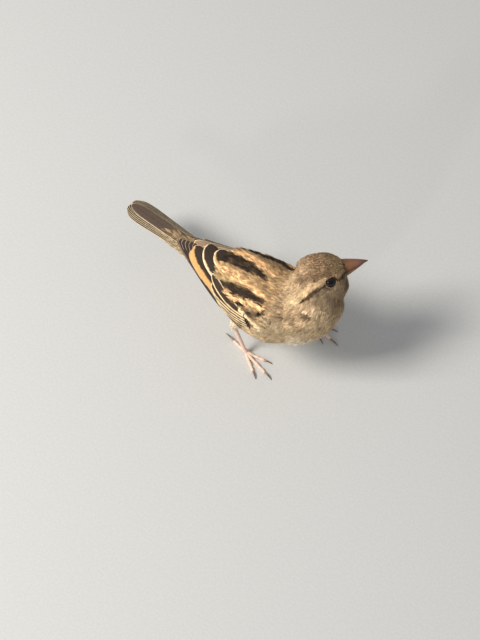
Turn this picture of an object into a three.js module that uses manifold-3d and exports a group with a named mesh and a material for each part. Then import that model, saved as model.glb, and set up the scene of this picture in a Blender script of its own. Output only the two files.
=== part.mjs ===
// House sparrow, adult female, life size, standing on level ground with her head turned to her
// left, raised and tilted so that the right eye looks up.
// Millimetres. +X is the way the trunk faces, +Y is her left and +Z is up.
import * as THREE from "three";
import { mergeVertices } from "three/addons/utils/BufferGeometryUtils.js";
import Module from "manifold-3d";

const wasm = await Module();
wasm.setup();

// ---------------------------------------------------------------- driving dimensions
const TAIL_LENGTH = 53; // from the root in the body to the tip
const BILL_LENGTH = 11.4; // along the ridge, from the feathers to the tip
const BILL_BASE_HALF = 3.9; // half the bill's depth and width at its base
const EYE_RADIUS = 3.3;
const TARSUS_RADIUS = 0.95;
const TOE_RADIUS = 0.85;
const CUT = 0.3; // clear gap where two pieces meet
const SHIELD_LIFT = 2.9; // the coverts' underside over the wing's carrier
const FOOT_HEIGHT = 1.55; // middle of the joint from which the toes spread
const TOE_START = 1.9; // where the toes begin, from that joint
const TARSUS_BACK = 7.6; // how far the heel lies behind the toes' joint
const TARSUS_RISE = 17; // and its height
const KNEE = { back: 5, apart: 8.5, height: 25 }; // inside the flank, behind the toes' joint

// Each foot's place on the ground from the tail's root, and its toes: the turn outwards from
// straight ahead, the length from the joint, and the claw's length.
const FEET = {
  right: {
    x: 33.4, y: -14.4, turnIn: 0.3,
    toes: [["inner", -15, 8.6, 3.6], ["middle", 9, 12.8, 4.4], ["outer", 30, 9.4, 3.8], ["hind", 188, 6.6, 5.4]],
  },
  left: {
    x: 45.2, y: 19.2, turnIn: 0.3,
    toes: [["inner", -22, 8.6, 3.6], ["middle", -4, 12.8, 4.4], ["outer", 17, 9.4, 3.8], ["hind", 174, 6.6, 5.4]],
  },
};

// How the trunk stands: its axis rises towards the breast, and the tail's root is this high.
const TRUNK_PITCH = THREE.MathUtils.degToRad(8);
const ROOT_HEIGHT = 31;

// How the head is held, in the trunk's frame.
const HEAD = {
  at: new THREE.Vector3(63.3, 24.1, 20.2), // middle of the bill's base
  yaw: 53,
  pitch: 7,
  roll: -11,
};

// The middle of the whole bird's outline on the ground, which becomes the origin.
const OUTLINE_CENTRE = new THREE.Vector2(8.71, 5.62);

const PLUMAGE = {
  crown: 0x8a745a,
  neck: 0x8f7a60,
  trunk: 0xa08a6c,
  coverts: 0x7b5c3c,
  flight: 0x3d3128,
  tail: 0x4a4038,
  bill: 0x9a6a50,
  leg: 0xb98a74,
  claw: 0x5b4a42,
  eye: 0x120d0a,
};

// ---------------------------------------------------------------- general tools
const V3 = (x, y, z) => new THREE.Vector3(x, y, z);
const deg = THREE.MathUtils.degToRad;

// A smooth value through equally spaced keys, at u from 0 to keys.length - 1.
function through(keys, u) {
  const last = keys.length - 1;
  const i = Math.min(Math.floor(u), last - 1);
  const f = u - i;
  const at = (j) => keys[Math.max(0, Math.min(last, j))];
  const [a, b, c, d] = [at(i - 1), at(i), at(i + 1), at(i + 2)];
  const slopeB = (c - a) / 2;
  const slopeC = (d - b) / 2;
  return (
    b * (1 + 2 * f) * (1 - f) ** 2 +
    slopeB * f * (1 - f) ** 2 +
    c * f * f * (3 - 2 * f) +
    slopeC * f * f * (f - 1)
  );
}

// The same for rows of numbers.
const throughRows = (rows, u) => rows[0].map((_, k) => through(rows.map((r) => r[k]), u));

// Where x lies among rising station places, as a fractional index.
function indexOf(places, x) {
  const last = places.length - 1;
  if (x <= places[0]) return 0;
  if (x >= places[last]) return last;
  const i = places.findIndex((p) => p > x) - 1;
  return i + (x - places[i]) / (places[i + 1] - places[i]);
}

// A closed skin over rings of equally many points, each ring given as Vector3s, with flat ends.
function skinOver(rings) {
  const n = rings[0].length;
  const points = rings.flat();
  const faces = [];
  for (let r = 0; r + 1 < rings.length; r++)
    for (let i = 0; i < n; i++) {
      const j = (i + 1) % n;
      const [a, b, c, d] = [r * n + i, r * n + j, (r + 1) * n + j, (r + 1) * n + i];
      faces.push([a, b, c], [a, c, d]);
    }
  const fan = (first, flip) => {
    const middle = points.length;
    points.push(
      points.slice(first, first + n).reduce((s, p) => s.add(p), V3(0, 0, 0)).divideScalar(n),
    );
    for (let i = 0; i < n; i++) {
      const [a, b] = [first + i, first + ((i + 1) % n)];
      faces.push(flip ? [middle, b, a] : [middle, a, b]);
    }
  };
  fan(0, true);
  fan((rings.length - 1) * n, false);
  const geometry = new THREE.BufferGeometry();
  geometry.setAttribute(
    "position",
    new THREE.Float32BufferAttribute(points.flatMap((p) => [p.x, p.y, p.z]), 3),
  );
  geometry.setIndex(faces.flat());
  return geometry;
}

// Geometry to a manifold-3d solid and back. A skin that came out inside out is turned round.
function solidOf(geometry) {
  const bare = geometry.clone();
  for (const name of ["normal", "uv"]) bare.deleteAttribute(name);
  const merged = mergeVertices(bare, 1e-4);
  const build = (index) =>
    new wasm.Manifold(
      new wasm.Mesh({
        numProp: 3,
        vertProperties: merged.attributes.position.array,
        triVerts: new Uint32Array(index),
      }),
    );
  const index = [...merged.index.array];
  const made = build(index);
  if (made.volume() >= 0) return made;
  for (let i = 0; i < index.length; i += 3) [index[i + 1], index[i + 2]] = [index[i + 2], index[i + 1]];
  return build(index);
}

function geometryOf(solid) {
  const mesh = solid.getMesh();
  const geometry = new THREE.BufferGeometry();
  geometry.setAttribute("position", new THREE.BufferAttribute(mesh.vertProperties, 3));
  geometry.setIndex(new THREE.BufferAttribute(mesh.triVerts, 1));
  return geometry;
}

const joined = (solids) => solids.reduce((a, b) => a.add(b));
const largest = (solid) => solid.decompose().reduce((a, b) => (b.volume() > a.volume() ? b : a));
const tidy = (solid) => largest(solid.simplify(0.08));

const SIDES = [[-1, "right"], [1, "left"]];
const bird = new THREE.Group();

function place(name, solid, colour, roughness = 0.85) {
  const material = new THREE.MeshStandardMaterial({ color: colour, roughness, metalness: 0 });
  const mesh = new THREE.Mesh(geometryOf(solid), material);
  mesh.name = name;
  bird.add(mesh);
}

// ---------------------------------------------------------------- from the trunk's frame to the ground
const STAND = new THREE.Matrix4()
  .makeTranslation(-OUTLINE_CENTRE.x, -OUTLINE_CENTRE.y, ROOT_HEIGHT)
  .multiply(new THREE.Matrix4().makeRotationY(-TRUNK_PITCH));
const onGround = (x, y, z = 0) => V3(x - OUTLINE_CENTRE.x, y - OUTLINE_CENTRE.y, z);
const stood = (p) => p.clone().applyMatrix4(STAND);

// ---------------------------------------------------------------- the body's surface
// Sections of the plumage's outline. Each has a dorsal point, a ventral point, how far up the
// widest place is, and a side vector that reaches from there to the right flank.
const headTurn = new THREE.Quaternion().setFromEuler(
  new THREE.Euler(deg(HEAD.roll), deg(-HEAD.pitch), deg(HEAD.yaw), "ZYX"),
);
const inHead = (x, y, z) => V3(x, y, z).applyQuaternion(headTurn).add(HEAD.at);

function trunkSection(dorsal, ventral, half, rise, yaw = 0, sway = [0, 0]) {
  return {
    dorsal: V3(dorsal[0], sway[0], dorsal[1]),
    ventral: V3(ventral[0], sway[1], ventral[1]),
    side: V3(Math.sin(deg(yaw)), -Math.cos(deg(yaw)), 0).multiplyScalar(half),
    rise,
  };
}

function headSection(dorsal, ventral, half, rise) {
  return {
    dorsal: inHead(dorsal[0], 0, dorsal[1]),
    ventral: inHead(ventral[0], 0, ventral[1]),
    side: V3(0, -half, 0).applyQuaternion(headTurn),
    rise,
  };
}

const SECTIONS = [
  trunkSection([-21, 2.4], [-21, -3.2], 4.4, 0.5), // tips of the tail's coverts
  trunkSection([-9, 4.4], [-9, -5.4], 5.8, 0.5),
  trunkSection([4, 7.6], [4, -8.4], 8, 0.5), // rump and vent
  trunkSection([15, 12], [14, -13.2], 10.8, 0.5),
  trunkSection([26, 15.4], [26, -16.8], 14.2, 0.52), // back and belly
  trunkSection([37, 17.4], [39, -19], 15.8, 0.52),
  trunkSection([44.4, 18.6], [53.5, -17.8], 17, 0.52, 4, [1.2, 3.4]), // shoulders
  trunkSection([48, 20.6], [65, -8.4], 15, 0.52, 16, [3.6, 7.4]), // breast
  trunkSection([49.4, 24.4], [69.2, 4.2], 13.4, 0.5, 34, [5.8, 14.6]), // neck
  headSection([-20.4, 7.8], [-4.8, -14.6], 11.8, 0.52), // nape
  headSection([-16, 10.2], [-2.2, -13], 10.6, 0.5), // ear coverts
  headSection([-10.6, 10.4], [-0.9, -11.4], 9.4, 0.47), // behind the eye
  headSection([-6, 9.2], [-0.1, -9.4], 8.1, 0.47), // eye
  headSection([-2.4, 6.6], [0.2, -7.2], 6.1, 0.48), // lores
  headSection([0, 4.3], [0, -4.9], 4.5, 0.49), // bill's base
];
const [NECK_START, HEAD_START] = [6.6, 9.1]; // where the thin cuts part trunk, neck and head

function bodySection(u) {
  const rows = SECTIONS.map((s) => [...s.dorsal, ...s.ventral, ...s.side, s.rise]);
  const v = throughRows(rows, u);
  return {
    dorsal: V3(v[0], v[1], v[2]),
    ventral: V3(v[3], v[4], v[5]),
    side: V3(v[6], v[7], v[8]),
    rise: v[9],
  };
}

// A point of the plumage's outline: turn 0 is the right flank, a quarter the back, a half the left.
function bodyPoint(u, turn, grow = 0) {
  const s = bodySection(u);
  const middle = s.ventral.clone().lerp(s.dorsal, s.rise);
  const [c, w] = [Math.cos(turn * 2 * Math.PI), Math.sin(turn * 2 * Math.PI)];
  const up = w > 0 ? s.dorsal.clone().sub(middle) : middle.clone().sub(s.ventral);
  const stretch = (v) => v.multiplyScalar(1 + grow / v.length());
  return middle.add(stretch(s.side).multiplyScalar(c)).add(stretch(up).multiplyScalar(w));
}

function bodyRing(u, count, grow) {
  return Array.from({ length: count }, (_, i) => stood(bodyPoint(u, i / count, grow)));
}

// The solid between two places along the body.
function bodyBetween(from, to, steps, count, grow = 0) {
  const rings = [];
  for (let i = 0; i <= steps; i++) rings.push(bodyRing(from + ((to - from) * i) / steps, count, grow));
  return solidOf(skinOver(rings));
}

// How much u moves for the given distance along the body's middle at u.
function stepFor(u, distance) {
  const middle = (t) => bodySection(t).ventral.lerp(bodySection(t).dorsal, 0.5);
  return (distance * 0.02) / middle(u + 0.01).distanceTo(middle(u - 0.01));
}

const RING = 20;
const LAST = SECTIONS.length - 1;
const trunkEnd = NECK_START - stepFor(NECK_START, CUT);
const neckEnd = HEAD_START - stepFor(HEAD_START, 2 * CUT);
let trunk = bodyBetween(0, trunkEnd, 15, RING);
const trunkGrown = bodyBetween(0, trunkEnd, 15, RING, CUT);
const neck = bodyBetween(NECK_START, neckEnd, 7, RING);
let head = bodyBetween(HEAD_START, LAST, 12, RING);

// ---------------------------------------------------------------- eyes
const EYE = { x: -8, side: 6.6, z: 0.8 };
function ball(centre, radius, around, down) {
  return solidOf(new THREE.SphereGeometry(radius, around, down).translate(...centre));
}
for (const [side, name] of SIDES) {
  const centre = stood(inHead(EYE.x, side * EYE.side, EYE.z));
  head = head.subtract(ball(centre, EYE_RADIUS + CUT, 12, 8));
  place(`eye_${name}`, ball(centre, EYE_RADIUS, 12, 8), PLUMAGE.eye, 0.1);
}
place("head", tidy(head.subtract(trunkGrown)), PLUMAGE.crown);
place("neck", neck, PLUMAGE.neck);

// ---------------------------------------------------------------- tail
// Twelve feathers folded in a stack, the middle pair on top. Six blades a side is more than the
// stack shows, so that neighbours share a blade.
function rectrices(grow) {
  const at = (x, y, z) => stood(V3(x, y, z));
  const blades = [];
  for (const [side] of SIDES)
    for (let i = 0; i < 4; i++)
      blades.push(
        blade(
          {
            root: [4, side * 0.5 * i],
            tip: [-TAIL_LENGTH + [0.9, 0.2, 0, 1][i], side * (1 + 0.6 * i)],
            wide: 4.8,
            lift: [1.2 - 0.2 * i, 2.4 - 0.5 * i],
            thick: 0.8,
          },
          at,
          () => 1,
          grow,
        ),
      );
  return joined(blades);
}
trunk = trunk.subtract(rectrices(CUT));
place("trunk", tidy(trunk), PLUMAGE.trunk);
place("tail", tidy(rectrices(0)), PLUMAGE.tail);

// ---------------------------------------------------------------- bill
// Half of a cone with a curved ridge: up is 1 for the upper jaw and -1 for the lower.
function jaw(up, length, base, droop) {
  const rings = [];
  const steps = 7;
  const arc = 7;
  for (let i = 0; i <= steps; i++) {
    const f = i / steps;
    const size = base * (1 - f ** 1.35) * (1 - 0.06 * Math.sin(Math.PI * f)) + 0.28;
    const ring = [];
    for (let j = 0; j <= arc; j++) {
      const a = (Math.PI * j) / arc;
      const y = size * 0.95 * Math.cos(a);
      const z = up * (CUT / 2 + size * Math.sin(a)) - droop * f * f;
      ring.push(stood(inHead(CUT + f * length, y, z)));
    }
    rings.push(ring);
  }
  return solidOf(skinOver(rings));
}
place("bill_upper", jaw(1, BILL_LENGTH, BILL_BASE_HALF, 0.5), PLUMAGE.bill, 0.45);
place("bill_lower", jaw(-1, BILL_LENGTH - 1.4, BILL_BASE_HALF * 1.06, 0.3), PLUMAGE.bill, 0.45);

// ---------------------------------------------------------------- the surface that carries the folded wings
// A tapering tube round the trunk. At the stations along X: middle's height, half width, height.
const WING_STATIONS = [-28, -16, -4, 8, 20, 32, 44, 56];
const WING_TUBE = [
  [4.6, 4.2, 3.6],
  [3.6, 5.8, 5.2],
  [2.4, 8.4, 6.9],
  [1.4, 11.7, 9.5],
  [0.6, 15, 12.7],
  [0.3, 17, 15.4],
  [0.6, 17.6, 17],
  [1.4, 16.6, 17.6],
];
// How each wing is folded: where its longest primary ends, behind the tail's root, the angle of
// that tip round the carrier, and how much closer to the body than the carrier the wing is held at
// its tip and at its bend.
const FOLD = {
  right: { tip: -17, turn: 42, snug: [0, 0] },
  left: { tip: -14, turn: 50, snug: [6.6, 3.4] },
};
const SNUG_FROM = -16; // the first of the two values of snug holds here, and the second at SNUG_TO
const SNUG_TO = 40;

// A point on the right wing's carrier. Angle 0 is straight out to the side and 90 is the midline.
function wingPoint(x, angle, lift, side) {
  const [middle, half, high] = throughRows(WING_TUBE, indexOf(WING_STATIONS, x));
  const a = deg(angle);
  const { snug } = side < 0 ? FOLD.right : FOLD.left;
  const forward = THREE.MathUtils.clamp((x - SNUG_FROM) / (SNUG_TO - SNUG_FROM), 0, 1);
  const out = half + lift - THREE.MathUtils.lerp(...snug, forward);
  return stood(V3(x, side * out * Math.cos(a), middle + (high + lift) * Math.sin(a)));
}

// A feather's blade as a closed thin solid. at(x, across, lift) places a point, and perMm(x) is
// how much across moves for a millimetre. lean lifts the edge that is nearer the midline.
function blade(feather, at, perMm, grow = 0) {
  const { root, tip, wide, lift, thick, lean = 0, sweep = 0 } = feather;
  const steps = 4;
  const rings = [];
  for (let i = 0; i <= steps; i++) {
    const f = 1 - (1 - i / steps) ** 1.5;
    const x = root[0] + (tip[0] - root[0]) * f + grow * (i === steps ? Math.sign(tip[0] - root[0]) : 0);
    const across = root[1] + (tip[1] - root[1]) * f + sweep * 4 * f * (1 - f);
    const rounding = f > 0.55 ? 1 - ((f - 0.55) / 0.48) ** 4 : 1;
    const half = (wide / 2) * Math.min(1, 0.45 + 1.2 * f) * Math.sqrt(rounding) + grow;
    const edge = half * perMm(x);
    const t = thick / 2 + grow;
    const up = lift[0] + (lift[1] - lift[0]) * f;
    rings.push([
      at(x, across - edge, up - t - lean * half),
      at(x, across + edge, up - t + lean * half),
      at(x, across + edge, up + t + lean * half),
      at(x, across - edge, up + t - lean * half),
    ]);
  }
  return solidOf(skinOver(rings));
}

// The primaries' visible vanes, folded in a stack whose lower edge is the wing's lower edge.
function primaries(fold) {
  const feathers = [];
  for (let i = 0; i < 6; i++)
    feathers.push({
      root: [40 - i * 1.5, -24 + i * 5],
      tip: [fold.tip + [1.6, 0, 0.8, 3.6, 6.8, 9.6][i], fold.turn + i * 5],
      wide: 6,
      lift: [0.9 + i * 0.12, 0.6 + i * 0.26],
      thick: 0.9,
      lean: 0.05,
      sweep: -2,
    });
  return feathers;
}

// The secondaries and the three large tertials that lie over them, nearest the midline.
function secondaries() {
  const feathers = [];
  for (let i = 0; i < 4; i++)
    feathers.push({
      root: [32 - i * 1.5, 2 + i * 7],
      tip: [-6.5 - i * 0.4, 36 + i * 6],
      wide: 8,
      lift: [2.4 + i * 0.05, 2.7 + i * 0.14],
      thick: 0.9,
      lean: 0.04,
      sweep: 0,
    });
  for (const [i, tipX] of [-4, 2.5, 9.5].entries())
    feathers.push({
      root: [30 - i, 34 + i * 8],
      tip: [tipX, 63 + i * 8],
      wide: 8.6,
      lift: [2.8 + i * 0.1, 3.4 + i * 0.35],
      thick: 0.9,
      lean: 0.03,
      sweep: 0,
    });
  return feathers;
}

// The rounded shield of coverts over the bend of the wing.
function covertShield(side, grow) {
  const [back, front, low, high] = [17, 51, -30, 52];
  const [along, across] = [7, 6];
  const rings = [];
  for (let i = 0; i <= along; i++) {
    const f = i / along;
    const x = back + (front - back) * f + (i === 0 ? -grow : 0) + (i === along ? grow : 0);
    const ends = 1 - Math.abs(2 * f - 1) ** 4;
    const reach = grow * degreesPerMm(x);
    const bottom = low + 26 * (1 - f) + 8 * (1 - ends) - reach;
    const top = high - 10 * f - 14 * (1 - ends) + reach;
    const thick = 0.5 + 1.1 * Math.sqrt(ends) + grow;
    const [under, over] = [[], []];
    for (let j = 0; j <= across; j++) {
      const g = j / across;
      const edge = 1 - Math.abs(2 * g - 1) ** 3;
      const angle = bottom + (top - bottom) * g;
      under.push(wingPoint(x, angle, SHIELD_LIFT - grow - 3 * f * f, side));
      over.push(wingPoint(x, angle, SHIELD_LIFT + 0.6 + thick * edge - 2.2 * f * f, side));
    }
    rings.push([...under, ...over.reverse()]);
  }
  return solidOf(skinOver(rings));
}

const degreesPerMm = (x) => 180 / Math.PI / throughRows(WING_TUBE, indexOf(WING_STATIONS, x))[1];

for (const [side, name] of SIDES) {
  const at = (x, angle, lift) => wingPoint(x, angle, lift, side);
  const spread = (list, grow) => joined(list.map((f) => blade(f, at, degreesPerMm, grow)));
  const shield = covertShield(side, 0).subtract(trunkGrown);
  const shieldGrown = covertShield(side, CUT);
  const ownSide = (solid) => solid.trimByPlane([0, side, 0], CUT / 2 - side * OUTLINE_CENTRE.y);
  const top = ownSide(spread(secondaries(), 0)).subtract(trunkGrown).subtract(shieldGrown);
  const low = ownSide(spread(primaries(FOLD[name]), 0))
    .subtract(trunkGrown)
    .subtract(shieldGrown)
    .subtract(spread(secondaries(), CUT));
  place(`primaries_${name}`, tidy(low), PLUMAGE.flight);
  place(`secondaries_${name}`, tidy(top), PLUMAGE.flight);
  place(`wing_coverts_${name}`, tidy(shield), PLUMAGE.coverts);
}

// ---------------------------------------------------------------- legs and feet
// A straight round limb that tapers from one end to the other.
function limb(from, to, fromRadius, toRadius, around = 8) {
  const along = to.clone().sub(from);
  const turn = new THREE.Quaternion().setFromUnitVectors(V3(0, 1, 0), along.clone().normalize());
  const shape = new THREE.CylinderGeometry(toRadius, fromRadius, along.length(), around, 1);
  return solidOf(shape.applyQuaternion(turn).translate(...from.clone().lerp(to, 0.5)));
}

// The ground's own slab, which gives every toe and claw its flat.
const below = wasm.Manifold.cube([400, 400, 20], true).translate([0, 0, -10]);

// A toe with its pads, flat underneath. Each station is the place along it, its radius and height.
const TOE_STATIONS = [
  [0, 0.9, 1.15],
  [0.12, 1.04, 0.9],
  [0.36, 0.78, 0.58],
  [0.5, 0.98, 0.6],
  [0.7, 0.74, 0.54],
  [0.86, 0.92, 0.56],
  [1, 0.6, 0.5],
];
function toe(start, dir, length, grow = 0) {
  const across = V3(-dir.y, dir.x, 0);
  const rings = TOE_STATIONS.map(([f, scale, height], i) => {
    const radius = TOE_RADIUS * scale + grow;
    const middle = start.clone().addScaledVector(dir, f * length + (i ? grow : -grow)).setZ(height);
    return Array.from({ length: 6 }, (_, k) => {
      const a = (k / 6) * 2 * Math.PI;
      return middle
        .clone()
        .addScaledVector(across, radius * Math.cos(a))
        .add(V3(0, 0, radius * Math.sin(a)));
    });
  });
  return solidOf(skinOver(rings)).subtract(below);
}

// A curved claw from the toe's end, with its tip down on the ground.
function claw(from, dir, length) {
  const top = from.clone().addScaledVector(dir, length * 0.45).setZ(1.25);
  const tip = from.clone().addScaledVector(dir, length).setZ(0.27);
  const curve = new THREE.QuadraticBezierCurve3(from, top, tip);
  const rings = [];
  for (let i = 0; i <= 4; i++) {
    const f = i / 4;
    const radius = 0.56 * (1 - f) + 0.26 * f;
    const p = curve.getPoint(f);
    const along = curve.getTangent(f);
    const across = V3(-dir.y, dir.x, 0);
    const up = along.clone().cross(across).negate();
    rings.push(
      Array.from({ length: 6 }, (_, k) => {
        const a = (k / 6) * 2 * Math.PI + Math.PI / 6;
        return p
          .clone()
          .addScaledVector(across, radius * 0.8 * Math.cos(a))
          .addScaledVector(up, radius * Math.sin(a));
      }),
    );
  }
  return solidOf(skinOver(rings)).subtract(below);
}

for (const [side, name] of SIDES) {
  const foot = FEET[name];
  const junction = onGround(foot.x, foot.y, FOOT_HEIGHT);
  const heel = onGround(foot.x - TARSUS_BACK, foot.y - foot.turnIn * side, TARSUS_RISE);
  const knee = onGround(foot.x - KNEE.back, side * KNEE.apart, KNEE.height);
  const toHeel = heel.clone().sub(junction).normalize();
  const tarsusEnd = (past) => heel.clone().addScaledVector(toHeel, past);
  const tarsus = limb(junction, tarsusEnd(0), TARSUS_RADIUS, 1.15);
  const thigh = limb(tarsusEnd(0.4), knee, 1.9, 6, 10).subtract(
    limb(junction, tarsusEnd(CUT), TARSUS_RADIUS + CUT, 1.15 + CUT),
  );
  let shank = tarsus.add(ball(junction, 1.25, 8, 6)).subtract(below);
  const earlier = [];
  for (const [which, turn, length, clawLength] of foot.toes) {
    const heading = side * turn;
    const dir = V3(Math.cos(deg(heading)), Math.sin(deg(heading)), 0);
    const start = junction.clone().addScaledVector(dir, TOE_START);
    const clear = earlier.reduce((solid, other) => solid.subtract(other), toe(start, dir, length));
    const grown = toe(start, dir, length, CUT);
    shank = shank.subtract(grown);
    earlier.push(grown);
    place(`toe_${name}_${which}`, tidy(clear), PLUMAGE.leg, 0.6);
    const clawRoot = start.clone().addScaledVector(dir, length + CUT).setZ(0.6);
    place(`claw_${name}_${which}`, tidy(claw(clawRoot, dir, clawLength)), PLUMAGE.claw, 0.5);
  }
  place(`tarsus_${name}`, tidy(shank), PLUMAGE.leg, 0.6);
  place(`thigh_${name}`, tidy(thigh.subtract(trunkGrown)), PLUMAGE.trunk);
}

bird.updateMatrixWorld(true);
export default bird;
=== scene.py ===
# House sparrow, adult female, life size: skin, feathers, eyes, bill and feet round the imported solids.
# Lengths in the dictionaries are millimetres in the trunk's own frame; finished meshes are metres.
import math
import bpy
import bmesh
import numpy as np
from mathutils import Matrix, Vector


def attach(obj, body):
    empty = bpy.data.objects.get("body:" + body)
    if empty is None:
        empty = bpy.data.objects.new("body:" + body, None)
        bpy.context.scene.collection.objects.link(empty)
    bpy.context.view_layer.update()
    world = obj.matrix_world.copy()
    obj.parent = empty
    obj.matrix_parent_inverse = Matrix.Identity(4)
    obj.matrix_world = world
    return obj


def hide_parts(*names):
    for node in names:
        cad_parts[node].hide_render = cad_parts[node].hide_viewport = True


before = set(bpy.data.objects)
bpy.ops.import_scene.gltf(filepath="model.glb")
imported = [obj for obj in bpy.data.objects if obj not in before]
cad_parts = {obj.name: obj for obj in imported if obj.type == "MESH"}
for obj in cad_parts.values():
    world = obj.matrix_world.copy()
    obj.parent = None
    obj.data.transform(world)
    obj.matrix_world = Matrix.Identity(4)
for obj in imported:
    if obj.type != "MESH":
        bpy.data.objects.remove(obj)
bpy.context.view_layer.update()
print("frame:", len(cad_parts), "solids")


def colour(red, green, blue):  # screen colour 0 to 255, to linear light
    parts = np.array([red, green, blue]) / 255
    return np.where(parts <= 0.04045, parts / 12.92, ((parts + 0.055) / 1.055) ** 2.4)


def smoothStep(value, low, high):
    f = np.clip((value - low) / (high - low), 0, 1)
    return f * f * (3 - 2 * f)


def lerp(a, b, f):
    return a + (b - a) * f


def unit(vector):
    return vector / np.linalg.norm(vector, axis=-1, keepdims=True)


def bell(value, wide):  # 1 at value 0, falling off on both sides
    return np.exp(-(value / wide) ** 2)


def circle(turn):  # cosine and sine of a share of a full turn, as columns
    a = (2 * np.pi * turn)[..., None]
    return np.cos(a), np.sin(a)


# ---- shader wiring: a socket whose operators add Math nodes
class Wire:
    def __init__(self, tree, socket=None):
        self.tree = tree
        self.socket = socket

    def node(self, kind, settings, inputs, output=0):
        made = self.tree.nodes.new("ShaderNode" + kind)
        for key, value in settings.items():
            if key == "stops":
                while len(made.color_ramp.elements) < len(value):
                    made.color_ramp.elements.new(0.5)
                for element, (place, shade) in zip(made.color_ramp.elements, value):
                    element.position = place
                    element.color = (*shade, 1)
            else:
                setattr(made, key, value)
        for key, value in inputs.items():
            if isinstance(value, Wire):
                self.tree.links.new(value.socket, made.inputs[key])
            else:
                made.inputs[key].default_value = value
        return Wire(self.tree, made.outputs[output])

    def math(self, operation, a, b=0.0):
        return self.node("Math", {"operation": operation}, {0: a, 1: b})

    def __add__(self, other):
        return self.math("ADD", self, other)

    def __radd__(self, other):
        return self.math("ADD", other, self)

    def __sub__(self, other):
        return self.math("SUBTRACT", self, other)

    def __rsub__(self, other):
        return self.math("SUBTRACT", other, self)

    def __mul__(self, other):
        return self.math("MULTIPLY", self, other)

    def __rmul__(self, other):
        return self.math("MULTIPLY", other, self)

    def __truediv__(self, other):
        return self.math("DIVIDE", self, other)

    def least(self, other):
        return self.math("MINIMUM", self, other)

    def size(self):
        return self.math("ABSOLUTE", self)

    def wave(self):
        return self.math("SINE", self)

    def between(self, low, high):  # 0 below low, 1 above high, smooth between
        settings = {"interpolation_type": "SMOOTHSTEP"}
        return self.node("MapRange", settings, {"Value": self, "From Min": low, "From Max": high})

    def here(self):  # place on the object
        return self.node("TexCoord", {}, {}, "Object")

    def attribute(self, name, output="Fac"):
        return self.node("Attribute", {"attribute_name": name}, {}, output)

    def parts(self, vector):
        return [self.node("SeparateXYZ", {}, {0: vector}, k) for k in range(3)]

    def stretched(self, vector, scale):
        return self.node("VectorMath", {"operation": "MULTIPLY"}, {0: vector, 1: scale})

    def noise(self, vector, scale, detail=2.0):
        return self.node("TexNoise", {}, {"Vector": vector, "Scale": scale, "Detail": detail})

    def mixed(self, factor, a, b, how="MIX"):
        settings = {"data_type": "RGBA", "blend_type": how}
        return self.node("Mix", settings, {0: factor, 6: a, 7: b}, 2)

    def grey(self, value):
        return self.node("CombineColor", {}, {0: value, 1: value, 2: value})


def newMaterial(name, constants):
    material = bpy.data.materials.new(name)
    material.use_nodes = True
    for key, value in constants.items():
        material.node_tree.nodes["Principled BSDF"].inputs[key].default_value = value
    return material, Wire(material.node_tree)


def dress(material, tint, roughness=None, height=None, strength=0.3, distance=0.0001):  # feeds the shader
    wire = Wire(material.node_tree)
    inputs, link = wire.tree.nodes["Principled BSDF"].inputs, wire.tree.links.new
    link(tint.socket, inputs["Base Color"])
    if roughness:
        link(roughness.socket, inputs["Roughness"])
    if height:
        bump = {"Strength": strength, "Distance": distance, "Height": height}
        link(wire.node("Bump", {}, bump).socket, inputs["Normal"])
    return material


def ink(red, green, blue):  # a shader's colour
    return (*colour(red, green, blue), 1)


# ---- camera, light and floor
viewSettings = {
    "target": (0.02331, -0.02229, 0.033),
    "azimuth": 41,
    "elevation": 60,
    "distance": 0.95,
    "lens": 114.2,
    "lamps": {  # place, size, power, colour
        "key": ((-0.50, -0.66, 0.90), 0.4, 14.5, (1.0, 0.96, 0.90)),
        "fill": ((0.30, -1.05, 0.45), 0.07, 1.5, (1.0, 0.97, 0.93)),
    },
    "sky": (0.94, 0.97, 1.0, 1),
    "skyStrength": 0.38,
}


def aim(thing, place, target):
    thing.location = place
    away = Vector(place) - Vector(target)
    thing.rotation_euler = away.to_track_quat("Z", "Y").to_euler()
    bpy.context.scene.collection.objects.link(thing)


def makeView():
    s, scene = viewSettings, bpy.context.scene
    turn, rise = math.radians(s["azimuth"]), math.radians(s["elevation"])
    back = Vector((math.sin(turn) * math.cos(rise), -math.cos(turn) * math.cos(rise), math.sin(rise)))
    target = Vector(s["target"])
    lens = bpy.data.cameras.new("camera")
    lens.lens = s["lens"]
    lens.clip_start = 0.01
    scene.camera = bpy.data.objects.new("camera", lens)
    aim(scene.camera, target + back * s["distance"], target)
    for name, (place, size, power, shade) in s["lamps"].items():
        lamp = bpy.data.lights.new(name, "AREA")
        lamp.size, lamp.energy, lamp.color = size, power, shade
        aim(bpy.data.objects.new(name, lamp), place, target)
    scene.world = bpy.data.worlds.new("sky")
    scene.world.use_nodes = True
    sky = scene.world.node_tree.nodes["Background"].inputs
    sky["Color"].default_value, sky["Strength"].default_value = s["sky"], s["skyStrength"]
    scene.view_settings.view_transform = "Standard"


def newObject(name, mesh, material):
    mesh.materials.append(material)
    made = bpy.data.objects.new(name, mesh)
    bpy.context.scene.collection.objects.link(made)
    return made


def makeFloor():
    bm = bmesh.new()
    bmesh.ops.create_grid(bm, x_segments=1, y_segments=1, size=2)
    mesh = bpy.data.meshes.new("floor")
    bm.to_mesh(mesh)
    bm.free()
    material, wire = newMaterial("paleFloor", {"Roughness": 0.9, "Specular IOR Level": 0.2})
    pale = {"stops": [(0.35, (0.60, 0.60, 0.59)), (0.7, (0.64, 0.64, 0.63))]}
    dress(material, wire.node("ValToRGB", pale, {0: wire.noise(wire.here(), 900.0)}))
    newObject("floor", mesh, material)


makeView()
makeFloor()
print("camera, light and floor")

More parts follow.
